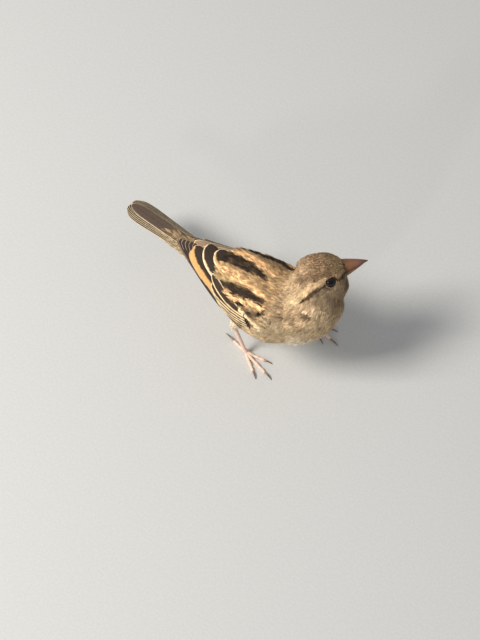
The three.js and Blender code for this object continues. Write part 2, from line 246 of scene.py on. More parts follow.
# ---- the body's surface, from the same sections as the solids
posture = {
    "outlineCentre": (8.71, 5.62),  # middle of the outline on the ground, from the tail's root
    "rootHeight": 31,
    "trunkPitch": 8,
    "headAt": (63.3, 24.1, 20.2),  # middle of the bill's base
    "headYaw": 53,
    "headPitch": 7,
    "headRoll": -11,
}


def spun(axis, degrees):
    return np.array(Matrix.Rotation(math.radians(degrees), 3, axis))


headTurn = spun("Z", posture["headYaw"]) @ spun("Y", -posture["headPitch"]) @ spun("X", posture["headRoll"])
trunkTurn = spun("Y", -posture["trunkPitch"])
headAt = np.array(posture["headAt"])
rootAt = np.array([-posture["outlineCentre"][0], -posture["outlineCentre"][1], posture["rootHeight"]])


def inHead(x, y, z):
    return headTurn @ np.array([x, y, z]) + headAt


def toHead(points):
    return (points - headAt) @ headTurn


def stood(points):  # trunk's frame in millimetres, to metres on the ground
    return (points @ trunkTurn.T + rootAt) / 1000


def onGround(x, y, z):
    return np.array([x - posture["outlineCentre"][0], y - posture["outlineCentre"][1], z]) / 1000


def trunkSection(dorsal, ventral, half, rise, yaw=0, sway=(0, 0)):
    side = np.array([math.sin(math.radians(yaw)), -math.cos(math.radians(yaw)), 0]) * half
    return [dorsal[0], sway[0], dorsal[1], ventral[0], sway[1], ventral[1], *side, rise]


def headSection(dorsal, ventral, half, rise):
    side = headTurn @ np.array([0, -half, 0])
    return [*inHead(dorsal[0], 0, dorsal[1]), *inHead(ventral[0], 0, ventral[1]), *side, rise]


# dorsal and ventral point, half width, how far up the widest place is, and the trunk's turn and sway
sections = np.array([trunkSection(*row) for row in (
    ((-21, 2.4), (-21, -3.2), 4.4, 0.5),
    ((-9, 4.4), (-9, -5.4), 5.8, 0.5),
    ((4, 7.6), (4, -8.4), 8, 0.5),  # rump and vent
    ((15, 12), (14, -13.2), 10.8, 0.5),
    ((26, 15.4), (26, -16.8), 14.2, 0.52),  # back and belly
    ((37, 17.4), (39, -19), 15.8, 0.52),
    ((44.4, 18.6), (53.5, -17.8), 17, 0.52, 4, (1.2, 3.4)),  # shoulders
    ((48, 20.6), (65, -8.4), 15, 0.52, 16, (3.6, 7.4)),  # breast
    ((49.4, 24.4), (69.2, 4.2), 13.4, 0.5, 34, (5.8, 14.6)),  # neck
)] + [headSection(*row) for row in (
    ((-20.4, 7.8), (-4.8, -14.6), 11.8, 0.52),  # nape
    ((-16, 10.2), (-2.2, -13), 10.6, 0.5),
    ((-10.6, 10.4), (-0.9, -11.4), 9.4, 0.47),  # behind the eye
    ((-6, 9.2), (-0.1, -9.4), 8.1, 0.47),
    ((-2.4, 6.6), (0.2, -7.2), 6.1, 0.48),  # lores
    ((0, 4.3), (0, -4.9), 4.5, 0.49),  # bill's base
)])
lastSection = len(sections) - 1


def smoothAlong(keys, place):  # a smooth run through equally spaced keys
    keys = np.asarray(keys, float)
    last = len(keys) - 1
    place = np.clip(np.asarray(place, float), 0, last)
    i = np.minimum(place.astype(int), last - 1)
    f = place - i
    if keys.ndim > 1:
        f = f[..., None]
    before, a, b, after = (keys[np.clip(i + k, 0, last)] for k in (-1, 0, 1, 2))
    leave, arrive = (b - before) / 2, (after - a) / 2
    rest = a * (1 + 2 * f) * (1 - f) ** 2 + b * f * f * (3 - 2 * f)
    return rest + leave * f * (1 - f) ** 2 + arrive * f * f * (f - 1)


tailCovertReach = 12  # a step of u behind the first section
throat = {"u": 8.9, "turn": 0.13, "long": 0.9, "wide": 0.09, "depth": 1.3}  # fuller feathers under the head


def bodyPoint(u, turn, grow):  # turn 0 is the right flank, a quarter the back, a half the left flank
    row = smoothAlong(sections, u)
    fromThroat = (turn + throat["turn"] + 0.5) % 1 - 0.5
    grow = grow + throat["depth"] * bell(u - throat["u"], throat["long"]) * bell(fromThroat, throat["wide"])
    dorsal, ventral, side = row[..., 0:3], row[..., 3:6], row[..., 6:9]
    middle = lerp(ventral, dorsal, row[..., 9:10])
    c, w = circle(turn)
    up = np.where(w > 0, dorsal - middle, middle - ventral)
    more = (np.zeros_like(u) + grow)[..., None]
    behind = np.minimum(u, 0)[..., None] * np.array([tailCovertReach, 0, 0])
    return middle + (side + unit(side) * more) * c + (up + unit(up) * more) * w + behind


# ---- the surface that carries the folded wings
wingStart, wingPitch = -28, 12  # stations along the trunk
wingTube = [  # middle's height, half width, height above it
    [4.6, 4.2, 3.6],
    [3.6, 5.8, 5.2],
    [2.4, 8.4, 6.9],
    [1.4, 11.7, 9.5],
    [0.6, 15, 12.7],
    [0.3, 17, 15.4],
    [0.6, 17.6, 17],
    [1.4, 16.6, 17.6],
]
folds = {  # end of the longest primary and its angle, how much closer the wing lies at tip and bend
    -1: {"tip": -17, "turn": 42, "snug": (0, 0), "margin": 9},  # margin: bare degrees at its lower edge
    1: {"tip": -14, "turn": 50, "snug": (6.6, 3.4), "margin": 4},
}


def carrier(x):
    return np.moveaxis(smoothAlong(wingTube, (x - wingStart) / wingPitch), -1, 0)


def wingPoint(x, angle, lift, side):  # angle 0 is straight out to the side, 90 the midline
    middle, half, high = carrier(x)
    a = np.radians(angle)
    snug = lerp(*folds[side]["snug"], np.clip((x + 16) / 56, 0, 1))
    out = half + lift - snug
    return np.stack([x + 0 * lift, side * out * np.cos(a), middle + (high + lift) * np.sin(a)], -1)


def degreesPerMm(x):
    return 180 / np.pi / carrier(x)[1]


armSettings = {"back": 17, "front": 51, "low": -30, "high": 52, "lift": 3.5}


def armPlace(f, g):  # along the trunk and angle round the wing's carrier
    s = armSettings
    ends = 1 - np.abs(2 * f - 1) ** 4
    bottom = s["low"] + 26 * (1 - f) + 8 * (1 - ends)
    top = s["high"] - 10 * f - 14 * (1 - ends)
    return lerp(s["back"], s["front"], f), lerp(bottom, top, g)


def armPoint(f, g, grow, side):  # the rounded shield over the wing's bones, f forward and g upward
    s = armSettings
    ends = 1 - np.abs(2 * f - 1) ** 4
    edge = 1 - np.abs(2 * g - 1) ** 3
    thick = 0.1 + 1.1 * np.sqrt(np.clip(ends, 0, 1))
    lift = s["lift"] + thick * edge - 2.2 * f * f - 0.6 + grow
    return wingPoint(*armPlace(f, g), lift, side)


def capePoint(x, angle, grow, side):  # where the mantle and scapulars lie over the wings' roots
    lift = 1.1 + 2.9 * smoothStep(-x, -44, -24) - 0.4 * smoothStep(angle, 60, 90)
    return wingPoint(x, angle, lift - 4 * smoothStep(x, 48, 57) + grow, side)


# ---- markings
shades = {
    "crown": (160, 130, 100),
    "crownDark": (122, 95, 70),
    "forehead": (178, 148, 110),
    "lores": (74, 57, 42),
    "brow": (228, 195, 150),
    "browPatch": (210, 184, 142),
    "eyeStripe": (92, 69, 50),
    "ear": (162, 138, 110),
    "chevron": (240, 212, 176),
    # throat: the bird's buff, darkened as painted shade under the head
    "throat": (158, 134, 104),
    "breast": (198, 172, 136),
    "flank": (202, 176, 138),
    "belly": (236, 220, 192),
    "nape": (198, 168, 132),
    "back": (178, 145, 106),
    "rump": (150, 130, 100),
    "tailCovert": (160, 136, 104),
    "streak": (50, 40, 33),
    "brace": (252, 202, 146),
    "olive": (196, 166, 118),
    "lesser": (176, 146, 108),
    "patch": (98, 74, 54),
}
shades = {name: colour(*parts) for name, parts in shades.items()}


def bandMask(across, up, line, soft):  # line: places with half widths; 1 inside, 0 beyond
    best = np.zeros_like(across)
    for (x0, y0, h0), (x1, y1, h1) in zip(line[:-1], line[1:]):
        dx, dy = x1 - x0, y1 - y0
        f = np.clip(((across - x0) * dx + (up - y0) * dy) / (dx * dx + dy * dy), 0, 1)
        away = np.hypot(across - x0 - f * dx, up - y0 - f * dy)
        half = lerp(h0, h1, f)
        best = np.maximum(best, 1 - smoothStep(away, half - soft, half + soft))
    return best


headBands = {  # shade, depth; then forward of the bill's base, height, half width, on both sides
    "lateralCrown": ("crownDark", 0.5, [(-6, 5.6, 0.8), (-15, 7.2, 1.0), (-22, 5.8, 1.0)]),
    "brow": ("brow", 1, [(-9.6, 4.3, 0.75), (-15.5, 3.5, 1.3), (-21, 2.2, 1.5), (-25, 0.2, 1.5)]),
    "browPatch": ("browPatch", 0.95, [(-22.5, 1.3, 1.1), (-26.5, -0.8, 1.6), (-30.5, -2.7, 1.3)]),
    "eyeStripe": ("eyeStripe", 0.95, [
        (-10.7, 1.5, 0.6), (-14.7, 1.3, 0.8), (-18.2, 0.9, 0.85), (-22.5, -0.2, 0.5)]),
    "lores": ("lores", 0.8, [(-5.2, 1.2, 0.5), (-0.8, 0.6, 1.1)]),
    # painted shade under the bill, in the lores' colour
    "chinShade": ("lores", 0.6, [(-0.6, -3.4, 0.9), (-1.6, -6.5, 1.3)]),
    "patch": ("patch", 0.75, [(-24.5, -5.4, 0.9), (-21.8, -7.4, 1.3)]),
    "chevronUpper": ("chevron", 0.9, [(-18.9, -1.7, 0.25), (-18.7, -5.2, 0.45), (-17.9, -8.3, 0.35)]),
    "chevronLower": ("chevron", 0.9, [(-23.2, -3.3, 0.3), (-20.6, -5.3, 0.5), (-17.9, -8.3, 0.35)]),
    "underEye": ("chevron", 0.55, [(-6.2, -2.0, 0.4), (-8.4, -2.5, 0.5), (-10.4, -1.7, 0.3)]),
}
backBands = {  # shade, depth, what blotches add; then along, across (right is negative), half width
    "olive": ("olive", 1, 0, [(14, -9.8, 1.0), (20, -10.6, 1.5), (25, -10.8, 1.2)]),
    "braceLeft": ("brace", 0.5, 0.7, [(11, 3.0, 1.3), (21.5, 3.6, 1.7), (29.7, 3.6, 1.9), (39.5, 2.8, 1.7)]),
    "braceRight": ("brace", 0.5, 0.7, [
        (11, -6.6, 1.3), (19.2, -7.6, 1.8), (26.5, -7.8, 1.9), (34, -8.4, 1.8), (43, -9.6, 1.4)]),
    "stripeRight": ("brace", 1, 0, [(22, -16, 0.8), (31.8, -15.4, 1.0), (38, -14.4, 1.0), (46, -13, 0.9)]),
    "beyondLeft": ("browPatch", 1, 0, [(20, 12, 0.6), (30, 13.6, 0.8), (40, 14, 0.8)]),
    # the centre's dark is lightened in places as painted greyish sheen, and broken up by blotches
    "centre": ("streak", 0.78, 0.4, [
        (5, -1.2, 2.4), (12, -1.6, 2.9), (20, -1.2, 3.2), (29, -1.0, 2.7), (38, -1.4, 1.3)]),
    "scapularRight": ("streak", 0.93, 0.07, [
        (19, -13, 1.1), (28, -13, 1.7), (36.5, -11.6, 1.7), (43.5, -11, 1.0)]),
    "scapularLeft": ("streak", 1, 0, [(15, 8, 1.0), (24.7, 8.8, 1.5), (31.5, 10.6, 1.7), (38, 12, 1.3)]),
    "smallRight": ("streak", 1, 0, [(28, -17.3, 0.6), (36.6, -16.3, 0.8)]),
    "patchRight": ("streak", 0.1, 1.1, [(37, -18, 0.8), (43.6, -16.5, 1.1), (48, -13.2, 0.9)]),
    "between": ("streak", -0.2, 1.2, [(25, -10.3, 0.3), (31, -10.4, 0.6), (37, -9.6, 0.4)]),
}
wingBands = ("stripeRight", "scapularRight", "smallRight", "patchRight")  # these run on over the coverts


def blotch(points, size):  # soft patches from 0 to 1
    x, y, z = (points / size).T
    one = np.sin(2.1 * x + 2.0 * np.sin(1.3 * y + 0.4 * z))
    other = np.sin(2.7 * y + 1.7 * np.sin(0.9 * x + z))
    return 0.5 + 0.25 * (one + other)


def backMarks(tint, streak, points, ragged, onBack=1, names=tuple(backBands)):
    patchy = blotch(points, 2.4)
    x, y = points[:, 0], points[:, 1] + ragged * 0.8 + patchy - 0.5
    for name in names:
        shade, least, more, line = backBands[name]
        mask = bandMask(x, y, line, 0.4) * onBack * np.clip(least + more * patchy, 0, 1)
        tint = lerp(tint, shades[shade], mask[:, None])
        streak = lerp(streak, 0.3 if shade == "streak" else 0.65, mask)
    return tint, streak


def markings(points, u, turn, random):  # base colour and strength of the dark shaft streak
    high = np.sin(2 * np.pi * turn)
    forward, aside, rise = toHead(points).T
    face = smoothStep(np.abs(aside), 3.5, 5.5)
    ragged = random.normal(0, 0.3, len(points))
    tint = shades["flank"]
    for name, mask in (
        ("belly", smoothStep(-high, 0.0, 0.6)),
        ("breast", smoothStep(u, 6.4, 7.4) * smoothStep(-high, -0.6, 0.3)),
        ("back", smoothStep(high, 0.1, 0.5) * smoothStep(u, 2.4, 3.4)),
        ("rump", smoothStep(high, -0.1, 0.4) * (1 - smoothStep(u, 2.2, 3.2))),
        ("tailCovert", (1 - smoothStep(u, 0.9, 1.6)) * smoothStep(high, 0.2, 0.6)),
        ("nape", smoothStep(u, 6.2, 7.4) * smoothStep(high, -0.35, 0.45)),
    ):
        tint = lerp(tint, shades[name], mask[:, None])
    streak = 0.3 * smoothStep(high, -0.2, 0.5) + 0.12
    streak = np.where(u > 6.8, 0.34, streak)
    streak = np.where((u < 2.6) & (high > -0.2), 0.6, streak)

    onBack = smoothStep(high, 0.12, 0.3) * (1 - smoothStep(u, 6.1, 6.6))
    tint, streak = backMarks(tint, streak, points, ragged, onBack)

    for name, mask in (
        ("crown", smoothStep(rise, 2.5, 5.0) * (1 - 0.55 * smoothStep(-forward, 11, 19))),
        ("ear", face * smoothStep(-rise, -2.0, 0.5) * smoothStep(forward, -25, -19)),
        # the throat's colour carries painted shade under the head
        ("throat", smoothStep(-rise, 5.0, 9.0)),
        ("forehead", smoothStep(forward, -7, -3) * smoothStep(rise, -1.0, 2.0)),
    ):
        tint = lerp(tint, shades[name], (smoothStep(u, 7.8, 9.3) * mask)[:, None])
    streak = np.where((u > 8.4) & (rise > 3), 0.85 - 0.25 * smoothStep(-forward, 11, 19), streak)
    for shade, depth, line in headBands.values():
        mask = bandMask(forward + ragged, rise + ragged * 0.4, line, 0.3)
        mask = mask * face * depth * smoothStep(u, 6.9, 7.6)
        tint = lerp(tint, shades[shade], mask[:, None])
        streak = lerp(streak, 0.16, mask)
    return tint * (0.86 + 0.28 * blotch(points, 2.4))[:, None], streak


# ---- plumage materials
def plumageMaterial(name, onSkin):
    material, wire = newMaterial(name, {"Specular IOR Level": 0.12})
    lie = wire.here() if onSkin else wire.attribute("lie", "Vector")
    scale = (700.0, 700.0, 700.0) if onSkin else (5.0, 0.7, 1.0)
    barbs = wire.noise(wire.stretched(lie, scale), 1.0, 3.0)
    light = 1.02 + (barbs - 0.5) * 1.7 + (wire.noise(wire.here(), 300.0) - 0.5) * 0.7
    tint = wire.mixed(1.0, wire.attribute("tint", "Color"), wire.grey(light), "MULTIPLY")
    return dress(material, tint, 0.7 + barbs * 0.25, barbs, 0.35, 0.0002)


def vaneMaterial(name):
    material, wire = newMaterial(name, {"Specular IOR Level": 0.2})
    outer, inner, tip = wire.parts(wire.attribute("reach", "Vector"))
    wideOut, wideIn, wideTip = wire.parts(wire.attribute("fringes", "Vector"))
    lie = wire.attribute("lie", "Vector")
    across, along = wire.parts(lie)[:2]
    wobble = wire.noise(wire.stretched(lie, (0.8, 0.35, 1.0)), 1.0, 3.0) - 0.5
    fine = wire.noise(wire.stretched(lie, (3.0, 0.6, 1.0)), 1.0) - 0.5
    edge = (outer / wideOut).least(inner / wideIn).least(tip / wideTip)
    fringe = 1 - (edge + wobble + fine * 0.5).between(0.6, 1.3)
    web = 1 - ((outer + wobble * 1.4 + fine * 0.8) / wire.attribute("webReach")).between(0.8, 1.2)
    barbs = ((along * 13.0 + across.size() * 9.0 + wobble * 2.0).wave() + 1) * 0.5
    streaks = wire.noise(wire.stretched(lie, (7.0, 0.5, 1.0)), 1.0, 3.0)
    shaft = 1 - across.size().between(0.08, 0.2)
    tint = wire.mixed(web, wire.attribute("ground", "Color"), wire.attribute("web", "Color"))
    tint = wire.mixed(fringe, tint, wire.attribute("fringe", "Color"))
    light = (0.98 + (streaks - 0.5) + (barbs - 0.5) * 0.14) * (1 - shaft * 0.3)
    tint = wire.mixed(1.0, tint, wire.grey(light), "MULTIPLY")
    return dress(material, tint, 0.55 + streaks * 0.3, barbs * 0.5 + shaft * 1.5 + streaks)


coatMaterial = plumageMaterial("plumage", False)
skinMaterial = plumageMaterial("downySkin", True)
vanes = vaneMaterial("featherVane")


# ---- pieces
def newPiece(name, mesh, material, replaced=()):
    piece = newObject(name, mesh, material)
    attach(piece, "root")
    if replaced:
        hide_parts(*replaced)


def pieceFrom(bm, name, material, replaced=()):
    bmesh.ops.recalc_face_normals(bm, faces=bm.faces)
    for face in bm.faces:
        face.smooth = True
    mesh = bpy.data.meshes.new(name)
    bm.to_mesh(mesh)
    bm.free()
    newPiece(name, mesh, material, replaced)


def tube(bm, place, around, stations, tags):
    # a grid rolled into a closed skin: place(turn, f) gives metres, tags give vertex attributes
    unwrap = bm.loops.layers.uv.get("OFBake") or bm.loops.layers.uv.new("OFBake")
    kindOf = lambda name: bm.verts.layers.float_color if name == "tint" else bm.verts.layers.float
    for name in tags:
        if name not in kindOf(name):
            kindOf(name).new(name)
    made = bmesh.ops.create_grid(bm, x_segments=around, y_segments=stations, size=0.5)["verts"]
    turn, f = np.array([v.co[:2] for v in made]).T + 0.5
    points = place(turn, f)
    for v, t, g, p in zip(made, turn, f, points):
        for loop in v.link_loops:
            loop[unwrap].uv = (t, g)
        v.co = p
    for name, value in tags.items():
        for v, row in zip(made, value(turn, f, points)):
            v[kindOf(name)[name]] = (*row, 1) if name == "tint" else row
    bmesh.ops.remove_doubles(bm, verts=made, dist=2e-6)
    rims = [e for e in bm.edges if e.is_boundary]
    if rims:
        bmesh.ops.holes_fill(bm, edges=rims, sides=0)


# ---- skin
# dark: the skin and the wings' shields are darker than the feathers, as painted shade in the gaps between
# them
skinSettings = {"dark": 0.8, "sink": 0.85, "thighSink": 0.7}  # darker than the feathers and below them
coatSettings = {  # along the body from the tail's coverts to the bill
    "length": [10, 9, 8, 8, 8, 8, 7.5, 7, 5.6, 4.2, 3.2, 2.8, 2.3, 1.8, 1.4],
    "depth": [1.0, 1.4, 1.9, 2.1, 2.2, 2.2, 2.2, 2.1, 1.9, 1.5, 1.2, 1.0, 0.8, 0.6, 0.4],
    "spacing": [1.5, 1.5, 1.4, 1.4, 1.4, 1.4, 1.3, 1.15, 1.0, 0.8, 0.68, 0.6, 0.52, 0.46, 0.42],
    "lift": [0.5, 0.5, 0.5, 0.5, 0.5, 0.5, 0.5, 0.5, 0.4, 0.25, 0.15, 0.12, 0.1, 0.08, 0.05],
    "pieces": [  # from u, to u, locks in a feather
        (0, 3.6, 5), (3.6, 5.6, 5), (5.6, 7.0, 5), (7.0, 8.4, 5), (8.4, 10.2, 4), (10.2, 12, 4), (12, 14, 4)],
}
feet = {
    -1: {"name": "right", "at": (33.4, -14.4), "turns": (-15, 9, 30, 188)},
    1: {"name": "left", "at": (45.2, 19.2), "turns": (-22, -4, 17, 174)},
}
legSettings = {
    "junction": 1.55, "tarsusBack": 7.6, "tarsusRise": 17, "turnIn": 0.3,
    "kneeBack": 5, "kneeApart": 8.5, "kneeHeight": 25, "ankle": 0.95, "heel": 1.15,
    "shinRadius": 1.7, "thighRadius": 6,
}


def legPoints(side):  # toes' joint, heel and knee, in metres
    s, (x, y) = legSettings, feet[side]["at"]
    junction = onGround(x, y, s["junction"])
    heel = onGround(x - s["tarsusBack"], y - s["turnIn"] * side, s["tarsusRise"])
    knee = onGround(x - s["kneeBack"], side * s["kneeApart"], s["kneeHeight"])
    return junction, heel, knee


def unstood(points):  # metres on the ground, back to the trunk's frame
    return (points * 1000 - rootAt) @ trunkTurn


def thighPoint(f, turn, grow, side):  # f 0 at the heel and 1 inside the flank
    heel, knee = (unstood(p) for p in legPoints(side)[1:])
    axis = unit(knee - heel)
    flat = unit(np.cross(axis, [0, 1, 0]))
    c, w = circle(turn)
    radius = lerp(legSettings["shinRadius"], legSettings["thighRadius"], np.maximum(f, 0) ** 0.8) + grow
    return heel + (knee - heel) * f[..., None] + (flat * c + np.cross(axis, flat) * w) * radius[..., None]


def thighTint(points, random):
    share = 0.6 + 0.4 * random.random(len(points))
    return lerp(shades["flank"], shades["belly"], share[:, None])


def makeSkin():
    random = np.random.default_rng(11)
    bm = bmesh.new()
    s = skinSettings

    def bodySkin(turn, f):
        u = f * lastSection
        return stood(bodyPoint(u, turn, -s["sink"] * smoothAlong(coatSettings["depth"], u)))

    # the plumage's colours, darkened as painted shade under the coat
    def bodyTint(turn, f, points):
        return markings(unstood(points), f * lastSection, turn, random)[0] * s["dark"]
    tube(bm, bodySkin, 72, 150, {"tint": bodyTint})
    for side in (-1, 1):
        legSkin = lambda turn, f: stood(thighPoint(f, turn, -s["thighSink"], side))
        tube(bm, legSkin, 20, 14, {"tint": lambda turn, f, points: thighTint(points, random) * s["dark"]})
    replaced = ("head", "neck", "trunk", "thigh_right", "thigh_left")
    pieceFrom(bm, "skin", skinMaterial, replaced)


makeSkin()
print("skin")


# ---- small feathers: each is a fan of flat barb locks that taper to a point
lockStations = (0.4, 0.75)


def lockTemplate():  # a three-sided cone, cut across twice; returns across, height, along and faces
    bm = bmesh.new()
    bmesh.ops.create_cone(bm, cap_ends=True, segments=3, radius1=1, radius2=0, depth=1)
    bmesh.ops.remove_doubles(bm, verts=bm.verts, dist=1e-4)
    for place in lockStations:
        geom = bm.verts[:] + bm.edges[:] + bm.faces[:]
        bmesh.ops.bisect_plane(bm, geom=geom, plane_co=(0, 0, place - 0.5), plane_no=(0, 0, 1))
    bmesh.ops.recalc_face_normals(bm, faces=bm.faces)
    bm.verts.index_update()
    x, y, z = np.array([v.co for v in bm.verts]).T
    along = z + 0.5
    taper = np.where(along < 0.999, 1 - along, np.inf)  # the tip has neither width nor height
    across = -x / taper / math.sin(math.pi / 3)
    height = np.where(along < 0.999, (y / taper + 0.5) / 1.5, 0)
    faces = [[v.index for v in face.verts] for face in bm.faces]
    bm.free()
    return across, height, along, faces


lockAcross, lockHeight, lockAlong, lockFaces = lockTemplate()


def scatter(surface, aRange, bRange, spacing, strips, random):
    # evenly spread roots: strips along the body, each filled by the area it covers
    a = np.linspace(*aRange, 300)
    edges = np.linspace(*bRange, strips + 1)
    line = lambda b: surface(a, np.full_like(a, b), 0.0)
    picked = []
    for low, high in zip(edges[:-1], edges[1:]):
        wide = np.linalg.norm(line(high) - line(low), axis=1)
        step = np.linalg.norm(np.diff(line((low + high) / 2), axis=0), axis=1)
        share = wide / spacing(a) ** 2
        count = np.concatenate([[0], np.cumsum(step * (share[1:] + share[:-1]) / 2)])
        n = int(count[-1] + random.random())
        marks = np.arange(n) + random.random(n)
        picked.append(np.stack([np.interp(marks, count, a), low + (high - low) * random.random(n)], 1))
    return np.concatenate(picked).T


lockSettings = {  # spreads are for the random draws
    "fanSpread": 0.1, "outerShorter": 0.26, "lengthSpread": 0.07, "wide": (0.75, 1.15), "swirlSpread": 0.09,
    "profile": (0.75, 1.0, 0.85, 0), "layerSpread": 0.1, "featherSpread": 0.12, "outerLower": 0.12,
    "streakHalf": 0.45, "tintSpread": 0.13, "lockTintSpread": 0.08, "streakDark": 0.8, "besideLight": 0.45,
    # light: brightness from root to tip; the dark root is painted shade where the feathers overlap, together
    # with their own darker bases
    "light": (0.42, 0.84, 1.03, 1.14), "tipLight": 0.25, "high": 0.16, "uvPatch": 0.003,
}


def growCoat(name, surface, a, b, look, paint, unwrap, locks, random):
    # feathers rooted at a, b on the surface; arrays run over feathers, their locks and a lock's points
    s, n, f = lockSettings, len(a), lockAlong
    step = 1e-3
    here = surface(a, b, 0 * a)
    alongA = (surface(a + step, b, 0 * a) - here) / step
    alongB = (surface(a, b + step, 0 * a) - here) / step
    outward = surface(a, b, 0 * a + 0.5) - here
    mirrored = np.sum(np.cross(-alongA, alongB) * outward, axis=1).mean() > 0
    stacked = lambda values: (values + 0 * a)[:, None, None]
    scaleA, scaleB = (stacked(np.linalg.norm(along, axis=1)) for along in (alongA, alongB))
    length, wide, depth, lift, loose = (
        stacked(look[key]) for key in ("length", "width", "depth", "lift", "loose"))
    a, b = stacked(a), stacked(b)

    fan = np.linspace(-1, 1, locks)[:, None] + random.normal(0, s["fanSpread"], (n, locks, 1))
    length = length * (1 - s["outerShorter"] * fan ** 2) * random.normal(1, s["lengthSpread"], (n, locks, 1))
    lockWide = wide / locks * random.uniform(*s["wide"], (n, locks, 1))
    swirl = random.normal(0, s["swirlSpread"], (n, 1, 1))
    stations = (0, *lockStations, 1)
    side = fan * wide * (0.2 + 0.3 * f ** 0.8) + lockAcross * lockWide * np.interp(f, stations, s["profile"])
    layer = random.normal(0, s["layerSpread"], (n, locks, 1))
    layer = layer + random.normal(0, s["featherSpread"], (n, 1, 1)) * loose
    grow = (depth + lift) * f ** 0.7 - depth + layer * f - s["outerLower"] * fan ** 2 * wide * f
    grow = grow + lockHeight * s["high"] * lockWide

    c, w = np.cos(swirl), np.sin(swirl)
    laidA = lambda forth, side: (a - (forth * c - side * w) / scaleA).ravel()
    laidB = lambda forth, side: (b + (side + forth * w) / scaleB).ravel()
    points = stood(surface(laidA(length * f, side), laidB(length * f, side * c), grow.ravel()))
    middle = (0.7 * length, fan * wide * 0.4)  # along and across, where a lock's colour is looked up
    atA, atB = laidA(*middle), laidB(*middle)
    tint, streak = paint(surface(atA, atB, 0 * atA), atA, atB)
    tint, streak = tint.reshape(n, locks, 1, 3), streak.reshape(n, locks, 1)
    inner = bell(fan, s["streakHalf"]) * streak
    bright = random.normal(1, s["tintSpread"], (n, 1, 1))
    bright = bright * random.normal(1, s["lockTintSpread"], (n, locks, 1))
    bright = bright * (1 - s["streakDark"] * inner) * (1 + s["besideLight"] * (streak - inner))
    # painted shade toward the root, where the feathers overlap; lighter toward the tip
    bright = bright * np.interp(f, stations, s["light"]) * (1 + s["tipLight"] * inner * (f > 0.9))
    seed = random.uniform(0, 80, (n, 1, 1)) + 0 * side
    inPatch = (np.clip(0.5 + side / (1.6 * wide), 0, 1), f + 0 * side)
    uv = [lerp(start, inside, s["uvPatch"]) for start, inside in zip(unwrap(a, b), inPatch)]

    order = [face[::-1] if mirrored else face for face in lockFaces]
    ring = np.array([v for face in order for v in face])
    sizes = np.array([len(face) for face in order])
    corners = (ring + np.arange(n * locks)[:, None] * len(f)).ravel()
    starts = np.concatenate([[0], np.cumsum(np.tile(sizes, n * locks))[:-1]])
    mesh = bpy.data.meshes.new(name)
    fill = lambda where, key, rows, kind=np.float32: where.foreach_set(key, rows.astype(kind).ravel())
    mesh.vertices.add(len(points))
    fill(mesh.vertices, "co", points)
    mesh.loops.add(len(corners))
    fill(mesh.loops, "vertex_index", corners, np.int32)
    mesh.polygons.add(len(starts))
    fill(mesh.polygons, "loop_start", starts, np.int32)
    mesh.update(calc_edges=True)
    shaded = (bright[..., None] * tint).reshape(-1, 3)
    fill(mesh.attributes.new("tint", "FLOAT_COLOR", "POINT").data, "color", np.insert(shaded, 3, 1, 1))
    lie = np.stack([side, length * f, seed], -1)
    fill(mesh.attributes.new("lie", "FLOAT_VECTOR", "POINT").data, "vector", lie)
    fill(mesh.uv_layers.new(name="OFBake").data, "uv", np.stack(uv, -1).reshape(-1, 2)[corners])
    mesh.shade_flat()
    print(" ", name, n * locks, "locks", n * locks * int((sizes - 2).sum()), "triangles")
    newPiece(name, mesh, coatMaterial)


eyeSettings = {
    "x": -8, "side": 6.6, "z": 0.8, "radius": 3.3, "open": 2.42, "axis": (0.14, 1, 0.26),
    "rootRoom": 3.0, "tipRoom": 2.95, "shortRoom": 4.2, "short": 0.6,  # how far feathers keep from its middle
}


def eyeFrame(side):  # centre of the ball and the way it looks, in the trunk's frame
    s = eyeSettings
    look = unit(np.array(s["axis"]) * (1, side, 1))
    return inHead(s["x"], side * s["side"], s["z"]), headTurn @ look


def clearOfEyes(points, room):  # False over the open eye
    free = np.ones(len(points), bool)
    for side in (-1, 1):
        centre, look = eyeFrame(side)
        off = points - centre
        ahead = off @ look
        away = np.linalg.norm(off - ahead[:, None] * look, axis=1)
        free &= ~((away < room) & (ahead > 0))
    return free


shadow = {"back": -10, "front": 43, "bendAngle": -24, "long": 57}


def underWing(points):  # how the wings' lower and upper edges run, to leave out what they hide
    x, y, z = points.T
    middle, half, high = carrier(x)
    top = np.clip(50 + (30 - x) * 1.6, 50, 86) - 6  # degrees; rises from the bend back to the rump
    hidden = np.zeros(len(points), bool)
    for side, fold in folds.items():
        angle = np.degrees(np.arctan2((z - middle) / high, side * y / half))
        low = lerp(fold["turn"], shadow["bendAngle"], (x - fold["tip"]) / shadow["long"]) + fold["margin"]
        hidden |= (x > shadow["back"]) & (x < shadow["front"]) & (angle > low) & (angle < top)
    return hidden


undertail = {"u": 1.3, "turn": 0.45, "short": 0.62}  # its coverts are shorter


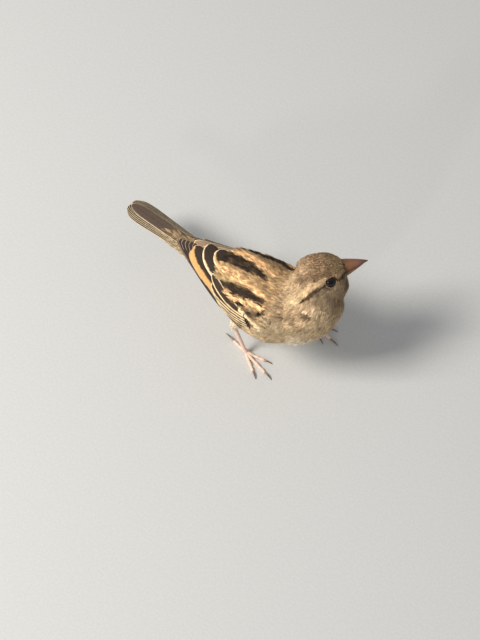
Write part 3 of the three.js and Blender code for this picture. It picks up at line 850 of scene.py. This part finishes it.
def bodyCoat():
    random = np.random.default_rng(23)
    keyed = lambda name, u: smoothAlong(coatSettings[name], u)
    spacing = lambda u: keyed("spacing", u)
    u, turn = scatter(bodyPoint, (0.05, lastSection - 0.02), (0, 1), spacing, 84, random)
    roots = bodyPoint(u, turn, 0)
    length = keyed("length", u) * random.normal(1, 0.08, len(u))
    length *= np.where(clearOfEyes(roots, eyeSettings["shortRoom"]), 1, eyeSettings["short"])
    length *= np.where((u < undertail["u"]) & (turn % 1 > undertail["turn"]), undertail["short"], 1)
    stride = np.linalg.norm(bodyPoint(u - 0.1, turn, 0) - roots, axis=1) / 0.1
    ends = bodyPoint(u - length / stride, turn, 0)
    bare = ~clearOfEyes(roots, eyeSettings["rootRoom"]) | ~clearOfEyes(ends, eyeSettings["tipRoom"])
    keep = ~bare & ~underWing(roots)
    order = np.argsort(u[keep])
    u, turn, length = u[keep][order], turn[keep][order], length[keep][order]
    paint = lambda spot, atU, atTurn: markings(spot, atU, atTurn, random)
    unwrap = lambda atU, atTurn: (atTurn % 1, atU / lastSection)
    for part, (low, high, locks) in enumerate(coatSettings["pieces"]):
        mine = (u >= low) & (u < high)
        a, b, size = u[mine], turn[mine], length[mine]
        look = {
            "length": size, "width": 0.3 + 0.5 * size, "depth": keyed("depth", a),
            "lift": keyed("lift", a) * (1 + 0.5 * (np.sin(2 * np.pi * b) < 0)), "loose": 1 + (a < 9),
        }
        growCoat("coat_%d" % part, bodyPoint, a, b, look, paint, unwrap, locks, random)


pairUsual = {
    "slot": "body_feathers", "strips": 26, "bRange": (0, 1), "spacing": 1.0, "locks": 5, "loose": 1,
    "keep": lambda a, b: np.full(len(a), True), "fit": lambda a, look: {},
}


def growPair(settings):  # one coat on the right side and one on the left
    s = {**pairUsual, **settings}
    for side in (-1, 1):
        random = np.random.default_rng(s["seed"] + side)
        surface = lambda a, b, grow: s["place"](a, b, grow, side)
        a, b = scatter(surface, s["aRange"], s["bRange"], lambda a: s["spacing"], s["strips"], random)
        kept = s["keep"](a, b)
        a, b = a[kept], b[kept]
        look = {**s, **{key: random.uniform(*s[key], len(a)) for key in ("length", "width") if key in s}}
        look.update(s["fit"](a, look))
        dyed = lambda spot, atA, atB: s["paint"](spot, atA, atB, spot * np.array([1, -side, 1]), random)
        name = s["name"] + feet[side]["name"]
        growCoat(name, surface, a, b, look, dyed, s["unwrap"], s["locks"], random)


def thighFit(f, look):
    length = np.minimum(look["length"], (f + 0.16) * 10)  # tips just over the heel
    return {"length": length, "width": 0.5 * length, "lift": 0.1 + 0.25 * smoothStep(f, 0.3, 0.8)}


def thighPaint(spot, atF, atTurn, mirrored, random):
    return thighTint(spot, random), np.full(len(spot), 0.15)


thighCoat = {
    "name": "thigh_coat_", "seed": 31, "aRange": (0.16, 1.05), "strips": 24,
    "length": (3.4, 5.2), "depth": 0.9, "loose": 2.2,
    "place": thighPoint, "fit": thighFit, "paint": thighPaint,
    "unwrap": lambda f, turn: (turn % 1, np.clip(f, 0, 1)),
}


def capeFit(x, look):
    smaller = 1 - 0.5 * smoothStep(x, 44, 50)  # toward the nape
    return {key: look[key] * smaller for key in ("length", "width")}


def capePaint(spot, atX, atAngle, mirrored, random):
    toNape = 5 + 2.3 * smoothStep(atX, 42, 51)
    return markings(spot, toNape, np.full(len(spot), 0.25), random)


capeCoat = {
    "name": "mantle_", "seed": 41, "aRange": (19, 55), "bRange": (31, 90), "strips": 22, "spacing": 1.25,
    "locks": 7, "length": (7, 9.5), "width": (3.4, 4.4), "depth": 1.2, "lift": 0.5, "loose": 2.0,
    "place": capePoint, "fit": capeFit, "paint": capePaint,
    "keep": lambda x, angle: angle > np.interp(x, (19, 25, 30, 36, 41, 50), (58, 49, 42, 35, 33, 37)),
    "unwrap": lambda x, angle: (angle / 90, (x - 10) / 45),
}


def armKeep(f, g):
    x, angle = armPlace(f, g)
    return angle > np.interp(x, (26, 32, 38.5, 46, 53), (46, 40, 32.5, 25, 11))


def armPaint(spot, atF, atG, mirrored, random):
    tint = lerp(shades["lesser"], shades["breast"], smoothStep(atF, 0.78, 0.98)[:, None] * 0.8)
    tint, streak = backMarks(tint, 0.5, mirrored, random.normal(0, 0.3, len(spot)), names=wingBands)
    return tint * (0.84 + 0.32 * blotch(spot, 1.7))[:, None], streak


armCoat = {
    "name": "lesser_coverts_", "slot": "wing_coverts", "seed": 51, "aRange": (0.45, 1),
    "length": (4.2, 5.4), "width": (2.2, 3), "depth": 0.6, "lift": 0.9,
    "place": armPoint, "keep": armKeep, "paint": armPaint,
    "unwrap": lambda f, g: (np.clip(g, 0, 1), np.clip(f, 0, 1)),
}
shoulderCurve = {  # the wing's front edge as armPoint's f; the end and a place before it as bodyPoint's u
    "edge": 0.9, "back": 0.1, "leave": 1.2, "end": 6.95, "before": 6.6, "arrive": 1.6, "sink": -0.6,
    "centre": (44, 0, 1),
}


def shoulderPoint(f, g, grow, side):  # from the wing's front edge, f 0, to the breast ahead of it, f 1
    c = shoulderCurve
    start = armPoint(c["edge"] + 0 * g, g, 0, side)
    along = (start - armPoint(c["edge"] - c["back"] + 0 * g, g, 0, side)) * c["leave"]
    angle = armPlace(c["edge"], g)[1]
    turn = angle / 360 if side < 0 else 0.5 - angle / 360
    end, before = (bodyPoint(c[key] + 0 * g, turn, c["sink"]) for key in ("end", "before"))
    onward = (end - before) * c["arrive"]
    t = np.clip(f, 0, 2)[:, None]
    over = start * (1 - t) ** 3 + 3 * (start + along) * t * (1 - t) ** 2
    over += 3 * (end - onward) * t * t * (1 - t) + end * t ** 3
    onWing = armPoint(c["edge"] + 0.36 * np.minimum(f, 0), g, 0, side)
    over = np.where(f[:, None] < 0, onWing, over)
    return over + unit(over - c["centre"]) * (grow + 0 * f)[:, None]


def shoulderKeep(f, g):
    return f > np.interp(g, (-0.1, 0.3, 0.42, 0.5, 0.75, 0.85), (-0.5, -0.5, -0.25, 0.3, 0.3, 0))


def shoulderPaint(spot, atF, atG, mirrored, random):
    tint, streak = markings(spot, np.full(len(spot), 6.7), np.full(len(spot), -0.02), random)
    lesser = smoothStep(-atF, -0.5, 0.4) * smoothStep(atG, 0.3, 0.7)
    tint = lerp(tint, shades["lesser"], 0.7 * lesser[:, None])
    return backMarks(tint, streak, mirrored, random.normal(0, 0.3, len(spot)), names=wingBands)


shoulderCoat = {  # breast feathers that lie over the bend of the wing
    "name": "shoulder_", "seed": 61, "aRange": (-0.5, 1), "bRange": (-0.1, 1), "spacing": 0.88,
    "length": (5, 6.4), "width": (2.6, 3.4), "depth": 1.3, "lift": 0.2,
    "place": shoulderPoint, "keep": shoulderKeep, "paint": shoulderPaint,
    "unwrap": lambda f, g: (np.clip((g + 0.1) / 1.2, 0, 1), np.clip(f, 0, 1)),
}
bodyCoat()
for coat in (thighCoat, capeCoat, armCoat, shoulderCoat):
    growPair(coat)
print("small feathers")


# ---- large feathers: thin cambered vanes
vaneShades = {
    "black": (56, 44, 36),
    "mole": (158, 128, 108),
    "primary": (58, 48, 41),
    "tail": (94, 78, 68),
    "tailSide": (80, 66, 57),
    "covert": (66, 51, 40),
    "rufous": (226, 172, 108),
    "buff": (228, 188, 134),
    "cream": (250, 230, 188),
    "pink": (228, 202, 176),
    "dusk": (168, 144, 124),
    "tailEdge": (212, 192, 156),
}
vaneShades = {name: colour(*parts) for name, parts in vaneShades.items()}
vaneShades["creamGround"] = vaneShades["cream"] * 0.8
vaneUsual = {  # lean tilts the blade, camber bows it across and swell along; fringes: outer, inner, tip
    "shaft": 0.3, "power": 2.4, "round": 0.66, "lean": 0.02, "sweep": 0, "camber": 0.03,
    "webReach": 0.01, "neck": 0.5, "swell": 0, "thick": 0.00016,
}
tileSettings = {"margin": 0.04, "wide": 0.44, "under": 0.48}  # shares of a vane's tile in the unwrap
vaneLayers = {"float_vector": ("reach", "fringes", "lie"), "float_color": ("ground", "web", "fringe")}


def addVane(bm, feather, place, spread, tile, columns=8, rows=22):
    # feather: root and tip (along, across), width, lifts, tints and fringes; place gives millimetres
    s = {**vaneUsual, "web": feather["ground"], **feather}
    made = bmesh.ops.create_grid(bm, x_segments=columns, y_segments=rows, size=1)["verts"]
    g, h = np.array([v.co[:2] for v in made]).T
    h = (h + 1) / 2
    f = 1 - (1 - h) ** 1.5  # closer rows toward the tip
    (x0, y0), (x1, y1) = s["root"], s["tip"]
    x, middle = lerp(x0, x1, f), lerp(y0, y1, f) + s["sweep"] * 4 * f * (1 - f)
    rounding = 1 - np.clip((f - s["round"]) / (1.004 - s["round"]), 0, 1) ** s["power"]
    full = s["wide"] * np.minimum(1, s["neck"] + 1.2 * f) * np.sqrt(rounding)
    across = full * (g + 1) / 2 - full * s["shaft"]
    outer, inner = across + full * s["shaft"], full * (1 - s["shaft"]) - across
    fromMiddle = across - full * (0.5 - s["shaft"])
    lift = lerp(*s["lift"], f) + s["lean"] * fromMiddle
    lift = lift - s["camber"] * full * g ** 2 / 2 + s["swell"] * 4 * f * (1 - f)
    points = stood(place(x, middle + fromMiddle * spread(x), lift))
    size = math.hypot(x1 - x0, 0.3 * (y1 - y0))
    layers = bm.verts.layers
    unwrap = bm.loops.layers.uv[0]
    row, column, count = tile
    margin = tileSettings["margin"]
    top = set(face for v in made for face in v.link_faces)
    for k, v in enumerate(made):
        v.co = points[k]
        v[layers.float_vector["reach"]] = (outer[k], inner[k], (1 - f[k]) * size)
        v[layers.float_vector["fringes"]] = s["fringes"]
        v[layers.float_vector["lie"]] = (across[k], f[k] * size, (s["seed"] * 7.31) % 60)
        v[layers.float["webReach"]] = s["webReach"]
        for name in vaneLayers["float_color"]:
            v[layers.float_color[name]] = (*vaneShades[s[name]], 1)
        along, beside = lerp(margin, 1 - margin, h[k]), margin + tileSettings["wide"] * (g[k] + 1) / 2
        for loop in v.link_loops:
            loop[unwrap].uv = ((column + beside) / count, (row + along) / count)
    for face in bmesh.ops.solidify(bm, geom=list(top), thickness=s["thick"])["geom"]:
        if isinstance(face, bmesh.types.BMFace) and face not in top:
            for loop in face.loops:
                loop[unwrap].uv.x += tileSettings["under"] / count


def vanePiece(name, feathers, place, spread, replaced=()):
    bm = bmesh.new()
    for kind, names in vaneLayers.items():
        for layer in names:
            getattr(bm.verts.layers, kind).new(layer)
    bm.verts.layers.float.new("webReach")
    bm.loops.layers.uv.new("OFBake")
    count = math.ceil(math.sqrt(len(feathers)))
    for k, feather in enumerate(feathers):
        addVane(bm, {"seed": k + 3 * len(name), **feather}, place, spread, (k // count, k % count, count))
    pieceFrom(bm, name, vanes, replaced)


def primaryFeathers(fold):
    back = (2.4, 0.5, 0, 0.9, 2.8, 5, 7.2, 9.4)
    turn = (-2, 2, 6, 10, 15, 20, 25, 30)
    return [{
        "root": (41 - 1.2 * i, -26 + 4 * i), "tip": (fold["tip"] + back[i], fold["turn"] + turn[i]),
        "wide": 6.2, "lift": (1.0 + 0.04 * i, 0.9 + 0.2 * i), "swell": 1.5 - 0.16 * i, "sweep": -2.5,
        "round": 0.62, "power": 2.2, "ground": "primary", "fringe": "dusk" if i else "pink",
        "fringes": (0.26 if i else 0.3, 0.05, 0.45),
    } for i in range(8)]


def secondaryFeathers():
    return [{
        "root": (30, 1 + 4 * i), "tip": (-6.8 + 0.3 * i, 46 + 3.6 * i), "wide": 6, "sweep": -5,
        "lift": (2.3 + 0.1 * i, 2.5 + 0.12 * i), "ground": "black", "web": "rufous", "webReach": 0.85,
        "fringe": "buff", "fringes": (0.22, 0.1, 0.35), "camber": 0.02,
    } for i in range(5)]


tertialSettings = {  # lowest first: a list has one value for each, anything else is for all three
    -1: {
        "tip": [(-5.8, 62), (-0.4, 82), (6.6, 82)], "root": [(26, 30), (26, 50), (27, 66)],
        "sweep": [-4.5, -6, 0], "lift": [(2.9, 3.5), (3.1, 3.9), (3.3, 4.3)], "ground": "black",
        "web": ["rufous", "buff", "rufous"], "fringe": ["buff", "cream", "cream"],
        "fringes": [(0.4, 0.35, 0.4), (0.75, 0.2, 0.5), (0.6, 0.2, 0.5)],
    },
    1: {
        "tip": [(-7.8, 116), (-2, 118), (6, 104)], "root": [(26, 40), (26, 58), (27, 70)],
        "lift": [(2.9, 3.3), (3.1, 3.7), (3.3, 4.1)], "ground": "mole", "web": "mole",
        "fringe": "cream", "fringes": (0.5, 0.3, 0.5),
    },
}


def tertialFeathers(side):
    usual = {"wide": [8.8, 8.6, 7.4], "webReach": [2.5, 1.1, 1.5], "shaft": 0.45, "lean": 0}
    rows = {**usual, **tertialSettings[side]}.items()
    return [{key: value[i] if isinstance(value, list) else value for key, value in rows} for i in range(3)]


def greaterCoverts():
    along = (12, 14.2, 16.6, 19.2, 22.2, 25.4, 28.8, 32.2)
    angles = (47, 31.5, 24, 17.5, 11.5, 5.5, 0, -6)
    return [{
        "root": (38 + 0.8 * i, 26 - 3.6 * i), "tip": (along[i], angles[i]), "wide": 5.2 if i else 4.3,
        "lift": (3.5 - 0.12 * i, 4.3 - 0.17 * i), "shaft": 0.42, "round": 0.7, "power": 2.2, "camber": 0.02,
        "ground": "covert", "web": "buff", "webReach": 0.65, "fringe": "cream", "lean": 0.01,
        "fringes": (0.36, 0.1 if i else 0.4, 0.4), "sweep": 0 if i else -4.5,
    } for i in range(8)]


def primaryCoverts():
    return [{
        "root": (46 - i, -20 + 6 * i), "tip": (26 + 2.2 * i, -3 + 3.5 * i), "wide": 4.4,
        "lift": (1.5 + 0.15 * i, 2.0 + 0.15 * i), "shaft": 0.4, "ground": "primary", "web": "pink",
        "webReach": 0.7, "fringe": "pink", "fringes": (0.35, 0.15, 0.3),
    } for i in range(4)]


def medianCoverts():
    return [{
        "root": (min(42 + 1.4 * i, 49), angle + 5), "tip": (34.2 + 2 * i, angle), "wide": 3.2,
        "lift": (2.0 - 0.16 * i, 4.1 - 0.2 * i), "shaft": 0.5, "round": 0.5, "camber": 0.02, "lean": 0.01,
        "ground": "creamGround", "fringe": "cream", "fringes": (1.2, 0.6, 1.6),
    } for i, angle in enumerate((29.5, 27.7, 26, 24.5, 21.5, 17.5, 13, 7.5))]


def makeWings():
    for side in (-1, 1):
        name = feet[side]["name"]
        place = lambda x, angle, lift: wingPoint(x, angle, lift, side)
        for kind, feathers, slot, replaced in (
            ("primary", primaryFeathers(folds[side]), "flight_feathers", ("primaries_" + name,)),
            ("secondary", secondaryFeathers(), "flight_feathers", ("secondaries_" + name,)),
            ("tertial", tertialFeathers(side), "flight_feathers", ()),
            ("greater_covert", greaterCoverts() + primaryCoverts(), "wing_coverts", ()),
            ("median_covert", medianCoverts(), "wing_coverts", ()),
        ):
            vanePiece(kind + "_vanes_" + name, feathers, place, degreesPerMm, replaced)
        bm = bmesh.new()

        def shield(turn, f):  # over the top for half the turn and back beneath
            g = np.where(turn < 0.5, turn * 2, 2 - turn * 2)
            over = armPoint(f, g, -0.7 - 1.5 * (1 - smoothStep(f, 0.35, 0.7)), side)
            return stood(np.where((turn < 0.5)[:, None], over, armPoint(f, g, -2.6, side)))
        # the shield under the coverts is darkened as painted shade
        dark = shades["lesser"] * skinSettings["dark"]
        tube(bm, shield, 40, 24, {"tint": lambda turn, f, points: [dark] * len(f)})
        pieceFrom(bm, "wing_arm_" + name, skinMaterial, ("wing_coverts_" + name,))


def makeTail():
    back = (1.2, 0.3, 0, 0.2, 0.9, 2)  # from the middle pair out
    feathers = [{
        "root": (4, side * 0.35 * i), "tip": (-54 + back[i], 0.9 + side * (0.3 + 0.8 * i)),
        "wide": 5.0 if i else 6.2, "shaft": 0.5 + side * (0.14 if i else 0), "round": 0.78, "power": 2.6,
        "lift": (1.6 - 0.16 * i + 0.06 * (side < 0), 3.3 - 0.36 * i + 0.1 * (side < 0)), "neck": 0.55,
        "ground": "tailSide" if i else "tail", "fringe": "tailEdge", "fringes": (0.2, 0.2, 0.24), "lean": 0,
    } for i in range(5, -1, -1) for side in (-1, 1)]
    place = lambda x, y, z: np.stack([x, y, z], -1)
    vanePiece("tail_feathers", feathers, place, lambda x: 1, ("tail",))


makeWings()
makeTail()
print("wings and tail")


# ---- eyes and lids
def eyeMaterial():
    material, wire = newMaterial("eyeGlass", {"Roughness": 0.05, "Specular IOR Level": 0.33})
    iris = wire.mixed(wire.noise(wire.here(), 3000.0), (0.010, 0.005, 0.003, 1), (0.026, 0.012, 0.006, 1))
    pupil = (0.0015, 0.0012, 0.001, 1)
    return dress(material, wire.mixed(wire.attribute("ring").between(0.52, 0.6), pupil, iris))


def lidMaterial():
    material, wire = newMaterial("eyelid", {"Specular IOR Level": 0.2})
    grain = wire.noise(wire.here(), 1500.0)
    pale = (wire.attribute("pale") + (grain - 0.5) * 1.6).between(0.3, 0.8)
    tint = wire.mixed(pale, ink(82, 64, 48), ink(214, 190, 156))
    return dress(material, tint, 0.55 + grain * 0.2, grain, 0.4)


def makeEyes():
    glass, lid = eyeMaterial(), lidMaterial()
    s = eyeSettings
    for side in (-1, 1):
        name = feet[side]["name"]
        centre, look = eyeFrame(side)
        across = unit(np.cross(look, headTurn @ (0, 0, 1)))
        upward = np.cross(across, look)
        bm = bmesh.new()
        bmesh.ops.create_uvsphere(bm, u_segments=40, v_segments=28, radius=s["radius"])
        ring = bm.verts.layers.float.new("ring")
        for v in bm.verts:
            x, y, z = v.co
            v[ring] = math.hypot(x, y) / s["open"] if z > 0 else 2.0
            v.co = stood(centre + across * x + upward * y + look * (z if z < 0 else z * 0.97))
        pieceFrom(bm, "eye_" + name + "_ball", glass, ("eye_" + name,))

        def rim(turn, f):  # the lid's section goes once round with f: over the ball, then down to the skin
            (c, w), (out, ahead) = circle(turn), circle(f)
            wide = 0.38 * out * (1 + 0.3 * (out > 0)) + 0.05 * circle(9 * turn)[1]
            ahead = math.sqrt(s["radius"] ** 2 - (s["open"] + 0.2) ** 2) - 0.3 + 0.42 * ahead
            ahead = ahead - 0.45 * np.maximum(wide, 0)
            return stood(centre + (across * c + upward * w * 0.96) * (s["open"] + 0.3 + wide) + look * ahead)

        def below(turn, f, points):
            c, w = circle(turn)
            return smoothStep(0.3 * c * side - w, 0.1, 0.7)[:, 0]
        bm = bmesh.new()
        tube(bm, rim, 48, 12, {"pale": below})
        pieceFrom(bm, "eyelid_" + name, lid)


# ---- bill
billSettings = {
    "upper": {"up": 1, "length": 11.4, "half": 3.9, "droop": 0.5, "arch": 0.92},
    "lower": {"up": -1, "length": 10.0, "half": 4.13, "droop": 0.3, "arch": 1},
    "cut": 0.3, "archShare": 0.72, "start": -0.6,
    "nostril": {"f": 0.1, "long": 0.05, "angle": 0.62, "wide": 0.2},
}


def billMaterial():
    material, wire = newMaterial("horn", {"Specular IOR Level": 0.4})
    grain = wire.noise(wire.stretched(wire.here(), (400.0, 400.0, 400.0)), 1.0, 3.0)
    stops = ((0.0, (62, 42, 26)), (0.28, (138, 94, 62)), (0.6, (136, 94, 74)), (1.0, (82, 60, 52)))
    ramp = {"stops": [(place, colour(*parts)) for place, parts in stops]}
    tint = wire.node("ValToRGB", ramp, {0: wire.attribute("along") + (grain - 0.5) * 0.3})
    tint = wire.mixed(wire.attribute("ridge") * 0.5, tint, ink(104, 76, 66))
    # painted shade in the nostril's hollow
    tint = wire.mixed(wire.attribute("dent"), tint, ink(38, 28, 24))
    return dress(material, tint, 0.34 + grain * 0.25, grain, 0.25)


def makeBill():
    horn = billMaterial()
    cut, share, start, hole = (billSettings[key] for key in ("cut", "archShare", "start", "nostril"))
    for name in ("upper", "lower"):
        s = billSettings[name]
        angleAt = lambda turn: np.pi * np.clip(turn / share, 0, 1)

        def nostril(turn, f):
            across = np.abs(angleAt(turn) - np.pi / 2) - hole["angle"]
            return bell(f - hole["f"], hole["long"]) * bell(across, hole["wide"]) * (s["up"] > 0)

        def horned(turn, f):  # the first share of the turn is the arch, the rest the flat inside
            size = s["half"] * (1 - f ** 1.35) * (1 - 0.06 * np.sin(np.pi * f)) + 0.28
            a, dent = angleAt(turn), nostril(turn, f)
            back = np.clip((turn - share) / (1 - share), 0, 1)
            y = np.where(turn < share, size * 0.95 * np.cos(a), -size * 0.95 * (1 - 2 * back))
            pinch = 1 - 0.05 * bell(np.abs(a - np.pi / 2) - 0.55, 0.25)
            arch = np.where(turn < share, size * np.sin(a) ** s["arch"], 0.0)
            z = s["up"] * (cut / 2 + arch) - s["droop"] * f * f - 0.25 * dent
            y = y * pinch * (1 - 0.12 * dent)
            return stood(np.stack([start + f * (s["length"] - start), y, z], -1) @ headTurn.T + headAt)

        ridge = lambda turn, f, points: bell(angleAt(turn) - np.pi / 2, 0.4) * (turn < share)
        # where the nostril's hollow gets its painted shade
        dark = lambda turn, f, points: smoothStep(nostril(turn, f), 0.35, 0.8)
        bm = bmesh.new()
        tube(bm, horned, 56, 48, {"along": lambda turn, f, points: f, "ridge": ridge, "dent": dark})
        pieceFrom(bm, "bill_horn_" + name, horn, ("bill_" + name,))


# ---- legs
toeSettings = {
    "places": (0, 0.12, 0.36, 0.5, 0.7, 0.86, 1),  # along the toe; below, radius and height there
    "scales": (0.9, 1.04, 0.78, 0.98, 0.74, 0.92, 0.6),
    "heights": (1.15, 0.9, 0.58, 0.6, 0.54, 0.56, 0.5),
    "lengths": (("inner", 8.6, 3.6), ("middle", 12.8, 4.4), ("outer", 9.4, 3.8), ("hind", 6.6, 5.4)),
    "radius": 0.85, "start": 1.9, "inside": 1.0, "scute": 0.85,
}
clawSettings = {"base": 0.58, "tip": 0.14, "heights": (0.6, 1.45, 0.2), "inside": 0.06}
shankSettings = {"scute": 1.1, "beyond": 0.03}


def legMaterial():
    material, wire = newMaterial("scaledSkin", {
        "Specular IOR Level": 0.35, "Subsurface Weight": 0.08, "Subsurface Scale": 0.001})
    grain = wire.noise(wire.here(), 1200.0)
    tint = wire.mixed(grain, ink(236, 198, 176), ink(252, 226, 208))
    tint = wire.mixed(wire.attribute("scute").between(0.7, 1.0) * 0.5, tint, ink(160, 112, 92))
    return dress(material, tint, 0.42 + grain * 0.25, grain)


def clawMaterial():
    material, wire = newMaterial("clawHorn", {"Specular IOR Level": 0.45})
    grain = wire.noise(wire.here(), 1600.0)
    tint = wire.mixed(wire.attribute("along").between(0.0, 0.7), ink(180, 144, 122), ink(92, 72, 62))
    return dress(material, wire.mixed(grain * 0.3, tint, ink(120, 96, 82)), 0.3 + grain * 0.2)


def onFloor(points):  # nothing goes under the ground
    points[:, 2] = np.maximum(points[:, 2], 0)
    return points


def addShank(bm, junction, heel):
    s = shankSettings
    axis = unit(heel - junction)
    wide = unit(np.cross(axis, [0, 0, 1]))
    front = np.cross(wide, axis)
    rows = np.linalg.norm(heel - junction) * 1000 / s["scute"]
    height = lambda f: f * (1 + 2 * s["beyond"]) - s["beyond"]
    saw = lambda f: (height(f) * rows) % 1

    def shank(turn, f):
        h, (c, w) = height(f), circle(turn)
        radius = lerp(legSettings["ankle"], legSettings["heel"], h) * (1 + 0.35 * bell(h, 0.09))
        radius = radius * (1 + 0.25 * bell(h - 1, 0.1)) * np.where(np.abs(2 * f - 1) > 0.985, 0.6, 1)
        radius = radius[:, None] * (1 + 0.07 * np.clip(c, 0, 1) * saw(f)[:, None]) / 1000
        return onFloor(junction + (heel - junction) * h[:, None] + (front * c + wide * w * 0.88) * radius)
    tube(bm, shank, 20, 90, {"scute": lambda turn, f, points: saw(f)})


def addToe(bm, ankle, along, beside, length):
    s = toeSettings
    start = ankle + along * (s["start"] - s["inside"])
    full = length + s["inside"]
    saw = lambda f: (f * full / s["scute"]) % 1

    def toe(turn, f):
        g = np.interp((f * full - s["inside"]) / length, s["places"], range(len(s["places"])))
        scale, height = smoothAlong(s["scales"], g)[:, None], smoothAlong(s["heights"], g)[:, None]
        c, w = circle(turn)
        radius = s["radius"] * scale * (1 + 0.08 * saw(f)[:, None] * np.clip(w, 0, 1))
        radius = radius * np.where((f < 0.01) | (f > 0.99), 0.65, 1)[:, None]
        middle = start[:2] + along[:2] * (f * full)[:, None]
        return onFloor(np.hstack([middle, height + radius * w]) + beside * radius * c) / 1000
    tube(bm, toe, 16, 70, {"scute": lambda turn, f, points: saw(f)})


def addClaw(bm, root, along, beside, length):
    s = clawSettings
    over, tip = root + along * length * 0.45, root + along * (length + 0.3)
    root[2], over[2], tip[2] = s["heights"]

    def claw(turn, f):
        h = (f * (1 + s["inside"]) - s["inside"])[:, None]
        middle = root * (1 - h) ** 2 + over * 2 * h * (1 - h) + tip * h * h
        up = np.cross(unit((over - root) * (1 - h) + (tip - over) * h), beside)
        up = up * np.sign(up[:, 2:3])
        radius = lerp(s["base"], s["tip"], np.clip(h, 0, 1) ** 1.2)
        c, w = circle(turn)
        return onFloor(middle + (beside * c * 0.8 + up * w) * radius) / 1000
    tube(bm, claw, 14, 22, {"along": lambda turn, f, points: f})


def makeLegs():
    skin, horn = legMaterial(), clawMaterial()
    for side in (-1, 1):
        name = feet[side]["name"]
        junction, heel, _ = legPoints(side)
        bm, clawMesh = bmesh.new(), bmesh.new()
        addShank(bm, junction, heel)
        ankle = junction * 1000
        for (_, length, clawLength), turnOut in zip(toeSettings["lengths"], feet[side]["turns"]):
            heading = math.radians(side * turnOut)
            along = np.array([math.cos(heading), math.sin(heading), 0])
            beside = np.array([-along[1], along[0], 0])
            addToe(bm, ankle, along, beside, length)
            addClaw(clawMesh, ankle + along * (toeSettings["start"] + length), along, beside, clawLength)
        ends = ["_%s_%s" % (name, toe[0]) for toe in toeSettings["lengths"]]
        pieceFrom(bm, "foot_" + name, skin, ["tarsus_" + name] + ["toe" + end for end in ends])
        pieceFrom(clawMesh, "claws_" + name, horn, ["claw" + end for end in ends])


makeEyes()
makeBill()
makeLegs()
print("eyes, bill and feet")
